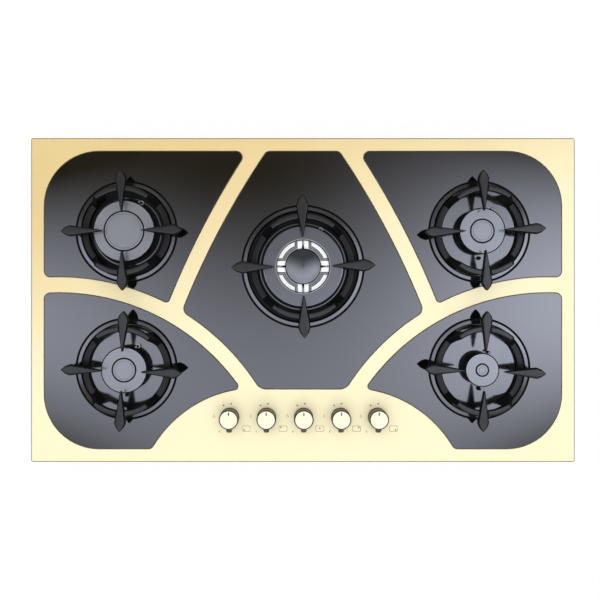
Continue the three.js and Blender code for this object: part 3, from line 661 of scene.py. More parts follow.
lampLook = {
    "front": {"place": (0.5, -2.3, 2.3), "size": 3.2, "power": 16},
    "rear": {"place": (-1.2, 2.4, 2.2), "size": 3.2, "power": 9},
}


def makeLamps():
    # Square lamps that face the origin and stay out of what gloss sees.
    for name, look in lampLook.items():
        data = bpy.data.lights.new(name, "AREA")
        data.shape = "SQUARE"
        data.size = look["size"]
        data.energy = look["power"]
        lamp = bpy.data.objects.new(name, data)
        lamp.visible_glossy = False
        lamp.location = look["place"]
        lamp.rotation_mode = "QUATERNION"
        lamp.rotation_quaternion = (-Vector(look["place"])).to_track_quat("-Z", "Y")
        bpy.context.scene.collection.objects.link(lamp)


makeCamera()
bpy.context.scene.view_settings.view_transform = "Standard"
makeFloor()
makeWorld()
makeLamps()
print("camera, floor, world and lamps")


# Plane points are complex numbers. An edge is a line with its inward normal, or a circle with
# side 1 where the outline lies inside it and -1 where it lies outside.
def lineEdge(x, y, normal):
    return {"point": complex(x, y), "normal": normal}


def roundEdge(x, y, radius, side):
    return {"centre": complex(x, y), "radius": radius, "side": side}


def insetEdge(edge, distance):
    # A line moves inwards; a circle's radius falls where the outline is inside it, or else grows.
    if "centre" in edge:
        return {**edge, "radius": edge["radius"] - edge["side"] * distance}
    return {**edge, "point": edge["point"] + edge["normal"] * distance}


def nearestOn(edge, spot):
    # On a circle, straight out from its centre through the spot; on a line, the foot of a normal.
    if "centre" in edge:
        out = spot - edge["centre"]
        return edge["centre"] + edge["radius"] * out / abs(out)
    height = ((spot - edge["point"]) * edge["normal"].conjugate()).real
    return spot - edge["normal"] * height


def crossingOf(a, b, near):
    # Two lines meet where one has run the distance to the other. A circle is met half a chord to
    # either side of the chord's middle, and the crossing nearer to the given spot counts.
    if "centre" not in a and "centre" not in b:
        across = a["normal"] * 1j
        reach = ((b["point"] - a["point"]) * b["normal"].conjugate()).real
        return a["point"] + across * reach / (across * b["normal"].conjugate()).real
    if "centre" not in a:
        a, b = b, a
    if "centre" in b:
        gap = b["centre"] - a["centre"]
        share = (a["radius"] ** 2 - b["radius"] ** 2 + abs(gap) ** 2) / (2 * abs(gap))
        middle, across = a["centre"] + gap / abs(gap) * share, gap / abs(gap) * 1j
    else:
        middle, across = nearestOn(b, a["centre"]), b["normal"] * 1j
    reach = math.sqrt(a["radius"] ** 2 - abs(middle - a["centre"]) ** 2)
    both = (middle + across * reach, middle - across * reach)
    return min(both, key=lambda spot: abs(spot - near))


def arcPoints(centre, start, end, steps):
    # Turns from start to end about the centre, the short way round, in equal steps.
    sweep = np.angle((end - centre) / (start - centre))
    return centre + (start - centre) * np.exp(1j * sweep * np.linspace(0, 1, steps + 1))


def roundedOutline(edges, radii, near, cornerSteps=14, edgeSteps=30):
    # Each corner is an arc that touches its two edges; the same number of points for every inset.
    corners = []
    for i, edge in enumerate(edges):
        after = edges[(i + 1) % len(edges)]
        centre = crossingOf(insetEdge(edge, radii[i]), insetEdge(after, radii[i]), near)
        corners.append((centre, nearestOn(edge, centre), nearestOn(after, centre)))
    points = []
    for i, (centre, start, end) in enumerate(corners):
        points.append(arcPoints(centre, start, end, cornerSteps))
        follow = corners[(i + 1) % len(corners)][1]
        edge = edges[(i + 1) % len(edges)]
        if "centre" in edge:
            points.append(arcPoints(edge["centre"], end, follow, edgeSteps)[1:-1])
        else:
            points.append(end + (follow - end) * np.linspace(0, 1, edgeSteps + 1)[1:-1])
    outline = np.concatenate(points)
    area = (outline.conjugate() * np.roll(outline, -1)).imag.sum()
    return outline if area > 0 else outline[::-1]


# The glass outlines: straight borders, and arcs (x, y, radius) on the right half, of which the
# waist's and the flanks' run down the middle of a gold band.
panelLook = {
    "side": 423.5, "rear": 243.5, "front": 243.5, "centreFront": 145.7, "band": 26.2,
    "waist": (400, -349.2, 374.2), "flank": (-1056, -513.2, 1361), "control": (76, -341.2, 197.5),
    "large": 90, "small": 10, "tip": 6, "flankCorner": 13, "frontCorner": 20,
}


def panelOutline(name, drawnIn):
    # The centre panel lies between the two waists and flanks, a rear one over its waist and beside
    # its flank, and a front one under its waist and beside the control field.
    look = panelLook
    spot = centres[name]
    side = -1 if spot.real < 0 else 1
    half = look["band"] / 2
    waistX, waistY, waistR = look["waist"]
    flankX, flankY, flankR = look["flank"]
    controlX, controlY, controlR = look["control"]
    border = lineEdge(side * look["side"], 0, complex(-side, 0))
    if name == "centre":
        edges = [
            lineEdge(0, look["rear"], -1j),
            roundEdge(-flankX, flankY, flankR - half, 1),
            roundEdge(-waistX, waistY, waistR + half, -1),
            lineEdge(0, -look["centreFront"], 1j),
            roundEdge(waistX, waistY, waistR + half, -1),
            roundEdge(flankX, flankY, flankR - half, 1),
        ]
        radii = [look["small"], look["flankCorner"], look["frontCorner"]]
        radii += radii[::-1]
    elif spot.imag > 0:
        edges = [
            border,
            roundEdge(side * waistX, waistY, waistR + half, -1),
            roundEdge(side * flankX, flankY, flankR + half, -1),
            lineEdge(0, look["rear"], -1j),
        ]
        radii = [look["small"], look["tip"], look["small"], look["large"]]
    else:
        edges = [
            border,
            lineEdge(0, -look["front"], 1j),
            roundEdge(side * controlX, controlY, controlR, -1),
            roundEdge(side * waistX, waistY, waistR - half, 1),
        ]
        radii = [look["large"], look["small"], look["tip"], look["small"]]
    edges = [insetEdge(edge, drawnIn) for edge in edges]
    return roundedOutline(edges, [radius - drawnIn for radius in radii], spot)


def circleLoop(centre, radius, segments=96):
    # The centre plus the radius times a unit number at even angles.
    return centre + radius * np.exp(1j * np.linspace(0, 2 * np.pi, segments, endpoint=False))


plateLook = {
    "half": (445, 265), "corner": 3, "cornerSteps": 8, "edgeSteps": 12, "edgeRoll": 1.4,
    "wellRoll": 1.3, "steps": 5, "brightSteps": 2, "gap": 0.3, "bowlSlack": 2.3,
    "spindleHole": 6, "holeSegments": 40,
}
# A bowl's rim and land; its pan support's ring, and the fingers' tips, widest place, inner ends
# and width.
seats = {
    name: {"rim": 83.5, "land": 8, "ring": 67, "tip": 96, "wide": 82, "inner": 31, "width": 17}
    for name in burnerNames
}
seats["centre"] = {
    "rim": 101, "land": 8, "ring": 79.8, "tip": 114.5, "wide": 96.5, "inner": 46.7, "width": 19.5,
}
capRadii = {
    "rear_left": 50, "front_left": 37.5, "centre": 65, "rear_right": 37.5, "front_right": 27.5,
}
bossRadii = {"rear_left": 31, "front_left": 18, "rear_right": 18, "front_right": 9}


def bowlHole(name):
    # The round hole in the well and the glass, a little wider than the bowl's wall.
    radius = seats[name]["rim"] - seats[name]["land"] + plateLook["bowlSlack"]
    return circleLoop(centres[name], radius)


def rollOver(radius, steps):
    # A quarter circle from lying flat to standing upright: how far in and how far down at each
    # step.
    turn = np.linspace(0, np.pi / 2, steps + 1)
    return radius * (1 - np.sin(turn)), radius * (1 - np.cos(turn))


def plateBorder(drawnIn):
    # A rectangle with rounded corners, drawn in evenly.
    halfX, halfY = plateLook["half"]
    edges = [
        lineEdge(-halfX, 0, 1), lineEdge(0, -halfY, 1j), lineEdge(halfX, 0, -1),
        lineEdge(0, halfY, -1j),
    ]
    edges = [insetEdge(edge, drawnIn) for edge in edges]
    radii = [plateLook["corner"] - drawnIn] * 4
    return roundedOutline(edges, radii, 0j, plateLook["cornerSteps"], plateLook["edgeSteps"])


def makePlate():
    # A folded sheet: its edge rolls over and down, and each well rolls down to a floor with the
    # bowl's hole. The underside lies one sheet's thickness inside.
    top, gap, bright = levels["plate"], plateLook["gap"], plateLook["brightSteps"]
    under, floor, floorUnder = top - sheet, levels["well"], levels["well"] - sheet
    rollIn, rollDown = rollOver(plateLook["edgeRoll"], plateLook["steps"])
    border = [plateBorder(inward) for inward in [*rollIn, 0, sheet, sheet]]
    heights = [*(top - rollDown), levels["rim"], levels["rim"], under]
    # The outer edge and the lower part of each well's roll take the dark edge finish, as painted
    # shade along the edges. The first steps of the roll keep the gold.
    shells = [wallRing(border, heights, 1, True)]
    wellIn, wellDown = rollOver(plateLook["wellRoll"], plateLook["steps"])
    wellKinds = np.array([0] * bright + [1] * (plateLook["steps"] + 1 - bright))
    topHoles, underHoles = [], []
    for name in burnerNames:
        foot, tray = panelOutline(name, -gap), panelOutline(name, -gap - sheet)
        hole = bowlHole(name)
        loops = [panelOutline(name, -gap - inward) for inward in wellIn] + [foot]
        shells += [
            wallRing(loops, [*(top - wellDown), floor], wellKinds),
            flatRing([foot, hole], floor, True),
            wallRing([hole] * 2, [floor, floorUnder]),
            flatRing([tray, hole], floorUnder, False),
            wallRing([tray] * 2, [floorUnder, under], flip=True),
        ]
        topHoles.append(loops[0])
        underHoles.append(tray)
    radius, segments = plateLook["spindleHole"], plateLook["holeSegments"]
    holes = [circleLoop(knobSpot(name), radius, segments) for name in knobNames]
    shells += [wallRing([hole] * 2, [top, under]) for hole in holes]
    shells.append(flatRing([border[0]] + topHoles + holes, top, True))
    shells.append(flatRing([border[-1]] + underHoles + holes, under, False))
    mesh = meshOf("plate_sheet", shells)
    addPiece("plate_sheet", mesh, ["gold", "goldEdge"], rootBody, ["top_plate"])


makePlate()
print("plate")


glassLook = {"chamfer": 0.7, "steps": 4}


def makeGlass(name):
    # A flat panel with a rolled upper edge and the bowl's hole.
    inward, down = rollOver(glassLook["chamfer"], glassLook["steps"])
    top, low = levels["glass"], levels["well"]
    loops = [panelOutline(name, d) for d in inward] + [panelOutline(name, 0)]
    hole = bowlHole(name)
    shells = [
        wallRing(loops, [*(top - down), low], flip=True),
        wallRing([hole] * 2, [top, low]),
        flatRing([loops[0], hole], top, True),
        flatRing([loops[-1], hole], low, False),
    ]
    title = "glass_" + name
    mesh = meshOf(title, shells)
    addPiece(title, mesh, ["glass"], rootBody, ["glass_panel_" + name])


for burner in burnerNames:
    makeGlass(burner)
print("glass")


# Two bowls get painted shade on the floor near the cap, broken by a thin band at the given
# distances past the cap's edge.
bowlLook = {
    "bead": 3.0, "beadHeight": 1.9, "landHeight": 0.9, "slope": 2.2, "lift": 0.02, "hole": 9,
    "shadedFloors": ("rear_left", "centre"), "shadeBreak": (4.6, 6.2), "segments": 144,
}


def makeBowl(name):
    # A turned sheet: a bead and a land on the glass, a steep wall, and a floor with a hole for the
    # burner. The steep wall is black as a painted shadow of the step, and on two bowls the floor
    # near the cap is painted shade except for a thin band. Corners are (radius, height, rounding,
    # finish).
    look = bowlLook
    rim = seats[name]["rim"]
    inside = rim - seats[name]["land"]
    wall = inside - look["slope"]
    floor, glass = levels["bowl"], levels["glass"]
    foot, bead, land = (glass + look[key] for key in ("lift", "beadHeight", "landHeight"))
    hole = capRadii[name] - look["hole"]
    # For the listed bowls the floor near the cap is painted shade, except between near and far.
    dark = 2 if name in look["shadedFloors"] else 0
    near, far = (capRadii[name] + reach for reach in look["shadeBreak"])
    corners = [
        (rim, foot, 0.1, 1), (rim, bead, 0.8, 1), (rim - look["bead"], bead, 0.7, 1),
        (rim - look["bead"] - 0.4, land - 0.25, 0.2, 0), (inside - 1.0, land + 0.1, 0.6, 1),
        (wall, floor, 1.8, dark), (far, floor, 0.1, 0), (near, floor, 0.1, dark),
        (hole, floor, 0.2, 0), (hole, floor - sheet, 0.2, 0), (wall + 0.6, floor - sheet, 1.6, 0),
        (inside + 1, foot, 0.5, 0),
    ]
    title = "bowl_" + name
    mesh = meshOf(title, [latheCorners(corners, spotOf(name), look["segments"], True)])
    looks = ["bowl", "rim", "bowlDark"]
    addPiece(title, mesh, looks, rootBody, ["drip_bowl_" + name])


for burner in burnerNames:
    makeBowl(burner)
print("drip bowls")


ringLook = {
    "inset": 2, "wall": 7, "foot": 11, "mouth": 8, "tooth": 6, "seat": 3, "sheet": 3,
    "capGap": 0.2, "pitch": 6.0, "perPort": 8, "port": 1.5, "portFoot": 0.5, "portFrom": 0.35,
    "portSlope": 6, "skin": 0.3, "slack": 0.01,
}
capLook = {
    "thick": 5, "boss": 1.0, "groove": 1.5, "grooveDepth": 0.9, "round": 0.9, "line": 3.2,
    "skirtDrop": 2, "skirtGap": 1.6, "segments": 144, "crease": 28,
}


def portRipple(count, outer, low, high, depth):
    # Pulls the outside wall in by the depth over narrow, evenly spaced slots: where the cosine of
    # count times the angle is high.
    def ripple(radius, height, turn):
        crest = np.cos(count * turn) - ringLook["portFrom"]
        slot = np.clip(crest * ringLook["portSlope"], 0, 1)
        level = (height > low) & (height <= high + ringLook["slack"])
        return radius - depth * slot * (level & (radius > outer - ringLook["skin"]))
    return ripple


def crownProfile(name, mouth):
    # A flame ring's section: a floor from the mouth out to a foot, a flared underside, and an
    # upright wall that ends under the cap. Also the wall's radius, its foot and its top.
    look = ringLook
    outer = capRadii[name] - look["inset"]
    inner = outer - look["wall"]
    foot = capRadii[name] - look["foot"]
    top = levels["capTop"] - capLook["thick"] - look["capGap"]
    shoulder = top - look["tooth"]
    seat = levels["bowl"] + look["seat"]
    corners = [
        (mouth, seat, 0.3), (foot, seat, 0.4), (outer - 0.2, shoulder - 0.6, 0.8),
        (outer, shoulder + 0.2, 0.1), (outer, shoulder + 0.8, 0), (outer, top - 0.4, 0),
        (outer, top, 0.1), (inner, top, 0.3), (inner, shoulder, 0.6),
        (mouth, seat + look["sheet"], 0.4),
    ]
    return softProfile(corners, True)[0], outer, shoulder, top


def flameRing(name, mouth, kinds=0):
    # A lathe of the ring's section, with slots at an even pitch round its wall. Also its top.
    profile, outer, shoulder, top = crownProfile(name, mouth)
    ports = round(2 * math.pi * outer / ringLook["pitch"])
    ripple = portRipple(ports, outer, shoulder + ringLook["portFoot"], top, ringLook["port"])
    return lathe(profile, spotOf(name), ports * ringLook["perPort"], True, kinds, ripple), top


def makeSmallRing(name):
    title = "burner_ring_" + name
    mesh = meshOf(title, [flameRing(name, ringLook["mouth"])[0]])
    addPiece(title, mesh, ["ring"], rootBody, ["flame_ring_" + name])


def makeCap(name):
    # A turned disc: a skirt that hangs in the flame ring, a flat rim, and a boss inside a groove,
    # with a thin dark ring on the boss. The groove and the rounded outer edge are painted black, as
    # shade.
    look = capLook
    radius, boss = capRadii[name], bossRadii[name]
    top = levels["capTop"]
    low = top - look["thick"]
    edge = top - look["boss"]
    groove = edge - look["grooveDepth"]
    grooveEnd = boss + look["groove"]
    skirt = radius - ringLook["inset"] - ringLook["wall"] - look["skirtGap"]
    hem = low - look["skirtDrop"]
    corners = [
        (0, hem, 0), (skirt, hem, 0.4), (skirt, low, 0.3, 1), (radius, low, 0.5, 1),
        (radius, edge, look["round"], 1), (radius - look["round"] - 0.8, edge, 0, 0),
        (grooveEnd + 0.5, edge, 0.2, 1), (grooveEnd + 0.1, groove, 0.2, 1),
        (boss + 0.1, groove, 0.2, 1), (boss, edge, 0.1, 0), (boss - 0.4, top, 0.8, 0),
        (boss - look["line"], top, 0, 1), (boss - look["line"] - 0.4, top, 0, 0), (0, top, 0, 0),
    ]
    title = "cap_" + name
    shell = latheCorners(corners, spotOf(name), look["segments"], False, 5)
    mesh = meshOf(title, [shell], look["crease"])
    addPiece(title + "_piece", mesh, ["cap", "rim"], title, ["burner_" + title])


for burner in bossRadii:
    makeSmallRing(burner)
    makeCap(burner)
print("small burners")


crownLook = {
    "mouth": 30, "hub": 26, "outer": 45.6, "drop": 2.0, "under": 6, "rows": 72, "segments": 720,
    "blur": 0.4, "step": 1.2, "windowFrom": 31.9, "windowSide": 9.5, "first": 0.38,
    "second": 2.85, "arc": 4.1, "bridge": 8.8, "channel": 1.8, "channelDepth": 0.5,
    "notchFrom": 29, "notchTo": 36.5, "notchHalf": 1.8, "notchDepth": 1.6, "lip": 0.8,
    "crease": 40,
}
hubLook = {"bore": 8, "foot": 56, "sheet": 3, "ports": (34, 7, 1.2), "segments": 192}
innerWall = {"radii": (45.6, 47.5), "foot": 2, "segments": 144}
crownCapLook = {
    "inner": 42.8, "bevel": 0.5, "band": 1.7, "domeRadius": 29, "domeEdge": 27.6, "domeDrop": 1.2,
    "domeCut": 0.93, "domeFoot": 0.3676, "domeRows": 15, "segments": 192, "domeSegments": 144,
}


def past(distance):
    # From 0 to 1 across a step's edge.
    return np.clip(distance / crownLook["blur"] + 0.5, 0, 1)


def makeCrownDish(top):
    # Height over radius and angle: a flat annulus whose four windows, beyond windowFrom and
    # windowSide, sink by one step at their edge and one more further in, and four bridges with a
    # channel and a wedge-shaped notch that narrows outwards.
    look = crownLook
    x, y = spotOf("centre")
    top = top - look["drop"]
    turn = np.linspace(0, 2 * np.pi, look["segments"], endpoint=False)[None, :]
    radius = np.linspace(look["hub"] - 1, look["outer"] + 0.9, look["rows"])[:, None]
    quarter = (turn + np.pi / 4) % (np.pi / 2) - np.pi / 4
    aside = np.abs(radius * np.sin(quarter))
    inward = np.minimum(radius - look["windowFrom"], aside - look["windowSide"])
    taper = look["notchTo"] - look["notchFrom"]
    notch = past(look["notchHalf"] * (look["notchTo"] - radius) / taper - aside)
    steps = past(inward) + past(inward - look["second"]) - past(inward - look["arc"])
    height = top - look["step"] * steps - look["channelDepth"] * past(look["channel"] - aside)
    height = height - look["notchDepth"] * notch
    grid = np.stack([x + radius * np.cos(turn), y + radius * np.sin(turn), height], -1)
    under = grid[[-1, 0]].copy()
    under[..., 2] = top - look["under"]
    points, faces, _ = closedGrid(np.concatenate([grid, under]), True)
    # the windows' outlines, the notches and the rim are painted dark as shade, and the windows'
    # floors and bridges painted white as a bright reflection
    half = look["first"]
    white = (inward > look["arc"]) | ((aside < look["bridge"]) & (aside > look["channel"]))
    dark = (np.abs(inward - half) < half) | (np.abs(inward - look["second"]) < half)
    dark = dark | (notch > 0.5) | (radius > crownCapLook["inner"] - look["lip"])
    kindAt = np.where(dark, 1, np.where(white, 2, 0))
    kindAt = np.concatenate([kindAt, np.zeros((2, look["segments"]), int)])
    return points, faces, kindAt.reshape(-1)[faces[:, 0]]


def makeCrownRing():
    # The casting: outer crown, hub with its own ports, the dish between them and a wall under the
    # ring cap's inner edge.
    outerCrown, top = flameRing("centre", crownLook["mouth"], 3)
    spot, seat, hub = spotOf("centre"), levels["bowl"] + ringLook["seat"], crownLook["hub"]
    floor = seat + hubLook["sheet"]
    ports, drop, depth = hubLook["ports"]
    hubCorners = [
        (hubLook["bore"], seat, 0.2), (hubLook["foot"], seat, 0.4), (hubLook["foot"], floor, 0.5),
        (hub + 1, floor, 0.5), (hub, top, 0.4), (hubLook["bore"], top, 0.3),
    ]
    ripple = portRipple(ports, hub - 1, top - drop, top, depth)
    innerCrown = latheCorners(hubCorners, spot, hubLook["segments"], True, ripple=ripple)
    near, far = innerWall["radii"]
    foot = seat + innerWall["foot"]
    wallCorners = [(near, foot, 0.2), (far, foot, 0.2), (far, top, 0.2), (near, top, 0.2)]
    wall = latheCorners(wallCorners, spot, innerWall["segments"], True)
    shells = [outerCrown, innerCrown, makeCrownDish(top), wall]
    looks = ["chrome", "chromeStep", "chromeWhite", "ring"]
    mesh = meshOf("crown_ring", shells, crownLook["crease"])
    addPiece("crown_ring", mesh, looks, rootBody, ["flame_ring_centre"])


def makeCrownCap():
    # A flat ring with bevelled edges. Corners are (radius, height, rounding, finish).
    look = crownCapLook
    top = levels["capTop"]
    low = top - capLook["thick"]
    inner, outer = look["inner"], capRadii["centre"]
    corners = [
        (inner, low, 0.3, 1), (outer, low, 0.5, 1), (outer, top - look["bevel"], 0.4, 1),
        (outer - 0.7, top - 0.12, 0.2, 0), (outer - look["band"], top, 0.3, 0),
        (inner + look["band"], top, 0.3, 2), (inner + 0.2, top - look["bevel"], 0.3, 1),
    ]
    shell = latheCorners(corners, spotOf("centre"), look["segments"], True, 6)
    mesh = meshOf("crown_cap", [shell], capLook["crease"])
    looks, node = ["darkCap", "rim", "chrome"], "ring_cap_centre"
    addPiece("crown_cap", mesh, looks, node, [node])


def makeCrownDome():
    # A shallow dome over an edge painted black as the shaded gap round it: its height falls with
    # the square root of 1 - (radius share)^2.
    look = crownCapLook
    low, edge = levels["capTop"] - capLook["thick"], levels["capTop"] - look["domeDrop"]
    node = "inner_cap_centre"
    share = np.linspace(1, 0, look["domeRows"])
    fall = np.sqrt(1 - (share * look["domeCut"]) ** 2)
    crest = edge + (topOf(node) - edge) * (fall - look["domeFoot"]) / (1 - look["domeFoot"])
    dome = np.stack([look["domeEdge"] * share, crest], -1)
    rim = look["domeRadius"]
    base, _ = softProfile([
        (0, low, 0), (rim, low, 0.4), (rim, edge - 0.6, 0.4), (rim - 0.5, edge - 0.1, 0.3),
        (look["domeEdge"], edge, 0),
    ], False)
    kinds = np.array([1] * (len(base) - 1) + [0] * (len(dome) - 1))
    profile = np.concatenate([base[:-1], dome])
    shell = lathe(profile, spotOf("centre"), look["domeSegments"], False, kinds)
    mesh = meshOf("crown_dome", [shell], crownLook["crease"])
    addPiece("crown_dome", mesh, ["dome", "rim"], node, [node])


makeCrownRing()
makeCrownCap()
makeCrownDome()
print("triple crown")


pinLook = {
    "angle": 64, "clearance": 3.0, "pin": 2.2, "collar": 3.6, "collarHeight": 1.2,
    "shoulder": 66.2, "core": 1.0, "head": 1.5, "headFlange": 0.6, "top": 74.7, "segments": 28,
}
sensorLook = {
    "clearance": 5.6, "high": 13.0, "stem": 1.9, "foot": 3.2, "footHeight": 2.2, "segments": 28,
}


def makeElectrode(name):
    # A ceramic pin on a collar, stepped in to a metal core with a flanged head, turned about Z.
    look = pinLook
    floor = levels["bowl"]
    turn = math.radians(look["angle"])
    reach = capRadii[name] + look["clearance"]
    spot = centres[name] + reach * complex(math.cos(turn), math.sin(turn))
    pin, collar, core, head, top = (look[key] for key in ("pin", "collar", "core", "head", "top"))
    step, shoulder, flange = look["collarHeight"], look["shoulder"], head + look["headFlange"]
    corners = [
        (0, floor - 1, 0), (pin, floor - 1, 0.1), (pin, floor, 0.1), (collar, floor, 0.2),
        (collar, floor + step, 0.4), (pin, floor + 1.8, 0.3, 2), (pin, shoulder, 0.5, 2),
        (core, shoulder + 1.2, 0.2, 2), (core, top - 1.2, 0.2, 2), (flange, top - 0.8, 0.2, 2),
        (flange, top - 0.3, 0.2, 2), (head, top, 0.2, 1), (0, top, 0, 1),
    ]
    shell = latheCorners(corners, (spot.real, spot.imag), look["segments"], False)
    title = "spark_pin_" + name
    looks = ["ceramic", "chrome", "rim"]
    addPiece(title, meshOf(title, [shell]), looks, rootBody, ["electrode_" + name])


def makeSensor(name):
    # A thermocouple: a plain stem on a foot, in front of its burner.
    look = sensorLook
    floor = levels["bowl"]
    high = floor + look["high"]
    spot = centres[name] - 1j * (capRadii[name] + look["clearance"])
    foot, stem = look["foot"], look["stem"]
    corners = [
        (0, floor - 0.5, 0), (foot, floor - 0.5, 0.2), (foot, floor + look["footHeight"], 0.5),
        (stem, floor + 2.8, 0.3), (stem, high - 1.6, 0.3), (stem - 0.5, high, 1.0), (0, high, 0),
    ]
    shell = latheCorners(corners, (spot.real, spot.imag), look["segments"], False)
    title = "flame_sensor_" + name
    addPiece(title, meshOf(title, [shell]), ["ring"], rootBody)


for burner in burnerNames:
    makeElectrode(burner)
    makeSensor(burner)
print("electrodes and thermocouples")


supportLook = {
    "voxel": 0.85, "quickVoxel": 1.6, "smooth": 0.5, "rounds": 4, "float": 0.2,
    "fingerHeight": 11, "fingerEnd": 1.1, "nose": 1.5, "shoulder": 0.5, "shoulderWidth": 0.74,
    "spread": 0.5, "tips": (0.3, 0.25), "crown": 0.7, "fingerSteps": 90, "fingerRound": (28, 9),
    "archStep": 2.5, "archHeight": 9, "archWidth": 9.5, "lowWidth": 11.5, "lowHeight": 9,
    "slopeTop": 0.62, "slopeFoot": 0.78, "widthTaper": 6, "inside": 0.54, "legTaper": 3,
    "ringSteps": 900, "ringRound": (28, 8), "web": 7, "webTaper": 0.9, "webSteps": 14,
    "webRound": (24, 8),
}
supportTurns = {
    "rear_left": 0.7, "front_left": -1.8, "centre": 1.0, "rear_right": 1.8, "front_right": -2.1,
}


def squareRound(count, power):
    # A square with round corners: cosine and sine with their sizes raised to 2 / power.
    turn = np.linspace(0, 2 * np.pi, count, endpoint=False) + np.pi / count
    c, s = np.cos(turn), np.sin(turn)
    return np.sign(c) * np.abs(c) ** (2 / power), np.sign(s) * np.abs(s) ** (2 / power)


def fingerShell(seat):
    # Sections across the finger: the half width follows its plan, the top is slightly crowned.
    look = supportLook
    inner, wide, tip, half = seat["inner"], seat["wide"], seat["tip"], seat["width"] / 2
    shoulder = wide + look["shoulder"] * (tip - wide)
    marks = [inner, inner + look["nose"], wide, shoulder, tip]
    widest, waist = half + look["spread"], half * look["shoulderWidth"]
    widths = [look["tips"][0], look["fingerEnd"], widest, waist, look["tips"][1]]
    x = np.linspace(inner, tip, look["fingerSteps"])
    width = np.interp(x, marks, widths)[:, None]
    across, up = squareRound(*look["fingerRound"])
    y = width * across[None, :]
    top = levels["finger"] - look["crown"] * across[None, :] ** 2 * np.minimum(width / half, 1)
    low = levels["finger"] - look["fingerHeight"]
    z = low + (top - low) * (up[None, :] * 0.5 + 0.5)
    return closedGrid(np.stack([np.repeat(x[:, None], len(across), 1), y, z], -1))


def ringShell(seat):
    # One closed band round the ring: low at the sides, raised into two arches by sloping legs.
    # Its top, bottom and width at each angle follow from how far across the ring that angle lies.
    look = supportLook
    ring = seat["ring"]
    turn = np.linspace(0, 2 * np.pi, look["ringSteps"], endpoint=False)[:, None]
    aside = np.abs(ring * np.cos(turn))
    low = levels["bowl"] + look["float"]
    ringTop = low + look["lowHeight"]
    archTop = levels["finger"] - look["archStep"]
    slopeTop, slopeFoot, inside = (ring * look[key] for key in ("slopeTop", "slopeFoot", "inside"))
    top = np.interp(aside, [slopeTop, slopeFoot], [archTop, ringTop])
    archFoot = archTop - look["archHeight"]
    under = np.interp(aside, [inside - look["legTaper"], inside], [archFoot, low])
    widths = [look["archWidth"], look["lowWidth"]]
    width = np.interp(aside, [slopeFoot - look["widthTaper"], slopeFoot], widths)
    across, up = squareRound(*look["ringRound"])
    radius = ring + width / 2 * across[None, :]
    z = (top + under) / 2 + (top - under) / 2 * up[None, :]
    return closedGrid(np.stack([radius * np.cos(turn), radius * np.sin(turn), z], -1), True)


def webShell(seat, side):
    # A post from the ring up into a side finger, a little thinner towards its top.
    look = supportLook
    low = levels["bowl"] + look["float"]
    high = levels["finger"] - look["fingerHeight"] / 2
    z = np.linspace(low, high, look["webSteps"])[:, None]
    across, up = squareRound(*look["webRound"])
    taper = np.interp(z, [low, high], [1.0, look["webTaper"]])
    x = side * seat["ring"] + look["lowWidth"] / 2 * across[None, :] * taper
    return closedGrid(np.stack([x, look["web"] / 2 * up[None, :] + 0 * z, z + 0 * x], -1))


def turnedShell(shell, angle):
    # Turned about Z through the origin.
    points, faces, kinds = shell
    c, s = math.cos(angle), math.sin(angle)
    return points @ np.array([[c, s, 0], [-s, c, 0], [0, 0, 1]]), faces, kinds


def supportMesh(title, seat):
    # Four fingers, the ring and two webs, fused on a voxel grid and softened like a casting.
    look = supportLook
    finger = fingerShell(seat)
    shells = [turnedShell(finger, k * math.pi / 2) for k in range(4)]
    shells += [ringShell(seat), webShell(seat, 1), webShell(seat, -1)]
    draft = bpy.data.objects.new("draft", meshOf("draft", shells))
    bpy.context.scene.collection.objects.link(draft)
    remesh = draft.modifiers.new("fuse", "REMESH")
    remesh.mode = "VOXEL"
    remesh.voxel_size = look["voxel"] * mm
    remesh.use_smooth_shade = True
    soften = draft.modifiers.new("soften", "SMOOTH")
    soften.factor = look["smooth"]
    soften.iterations = look["rounds"]
    evaluated = draft.evaluated_get(bpy.context.evaluated_depsgraph_get())
    fused = bpy.data.meshes.new_from_object(evaluated)
    bpy.data.objects.remove(draft)
    fused.name = title
    return fused


def placedCopy(mesh, title, spot, degrees):
    # A copy of the mesh, turned about Z and moved to its burner.
    made = mesh.copy()
    made.name = title
    flat = np.empty(len(made.vertices) * 3, np.float32)
    made.vertices.foreach_get("co", flat)
    points = flat.reshape(-1, 3).astype(float)
    turn = math.radians(degrees)
    plane = (points[:, 0] + 1j * points[:, 1]) * np.exp(1j * turn) + spot * mm
    points[:, 0], points[:, 1] = plane.real, plane.imag
    made.vertices.foreach_set("co", points.astype(np.float32).ravel())
    made.update()
    return made


smallCasting = supportMesh("support_small", seats["rear_left"])
largeCasting = supportMesh("support_large", seats["centre"])
for burner in burnerNames:
    title = "support_" + burner
    casting = largeCasting if burner == "centre" else smallCasting
    mesh = placedCopy(casting, title, centres[burner], supportTurns[burner])
    addPiece(title + "_casting", mesh, ["iron"], title, ["pan_" + title])
    print(title, len(mesh.polygons))


knobLook = {
    "radius": 15.7, "neck": 14.9, "skirt": 5, "edge": 1.4, "disc": 13.7, "discDrop": 0.25,
    "bore": 4.3, "boreTop": 28.5, "segments": 96,
}
lugLook = {
    "root": 10, "reach": 6.8, "width": 12.5, "end": 8, "top": (4, 5, 13), "topAt": (0, 0.4, 1),
    "nose": 1.0, "noseWidth": 0.65, "steps": (16, 7), "round": (28, 5),
}
tickLook = {"from": 6.6, "to": 12.2, "half": 0.9, "sunk": 0.2, "high": 0.12}


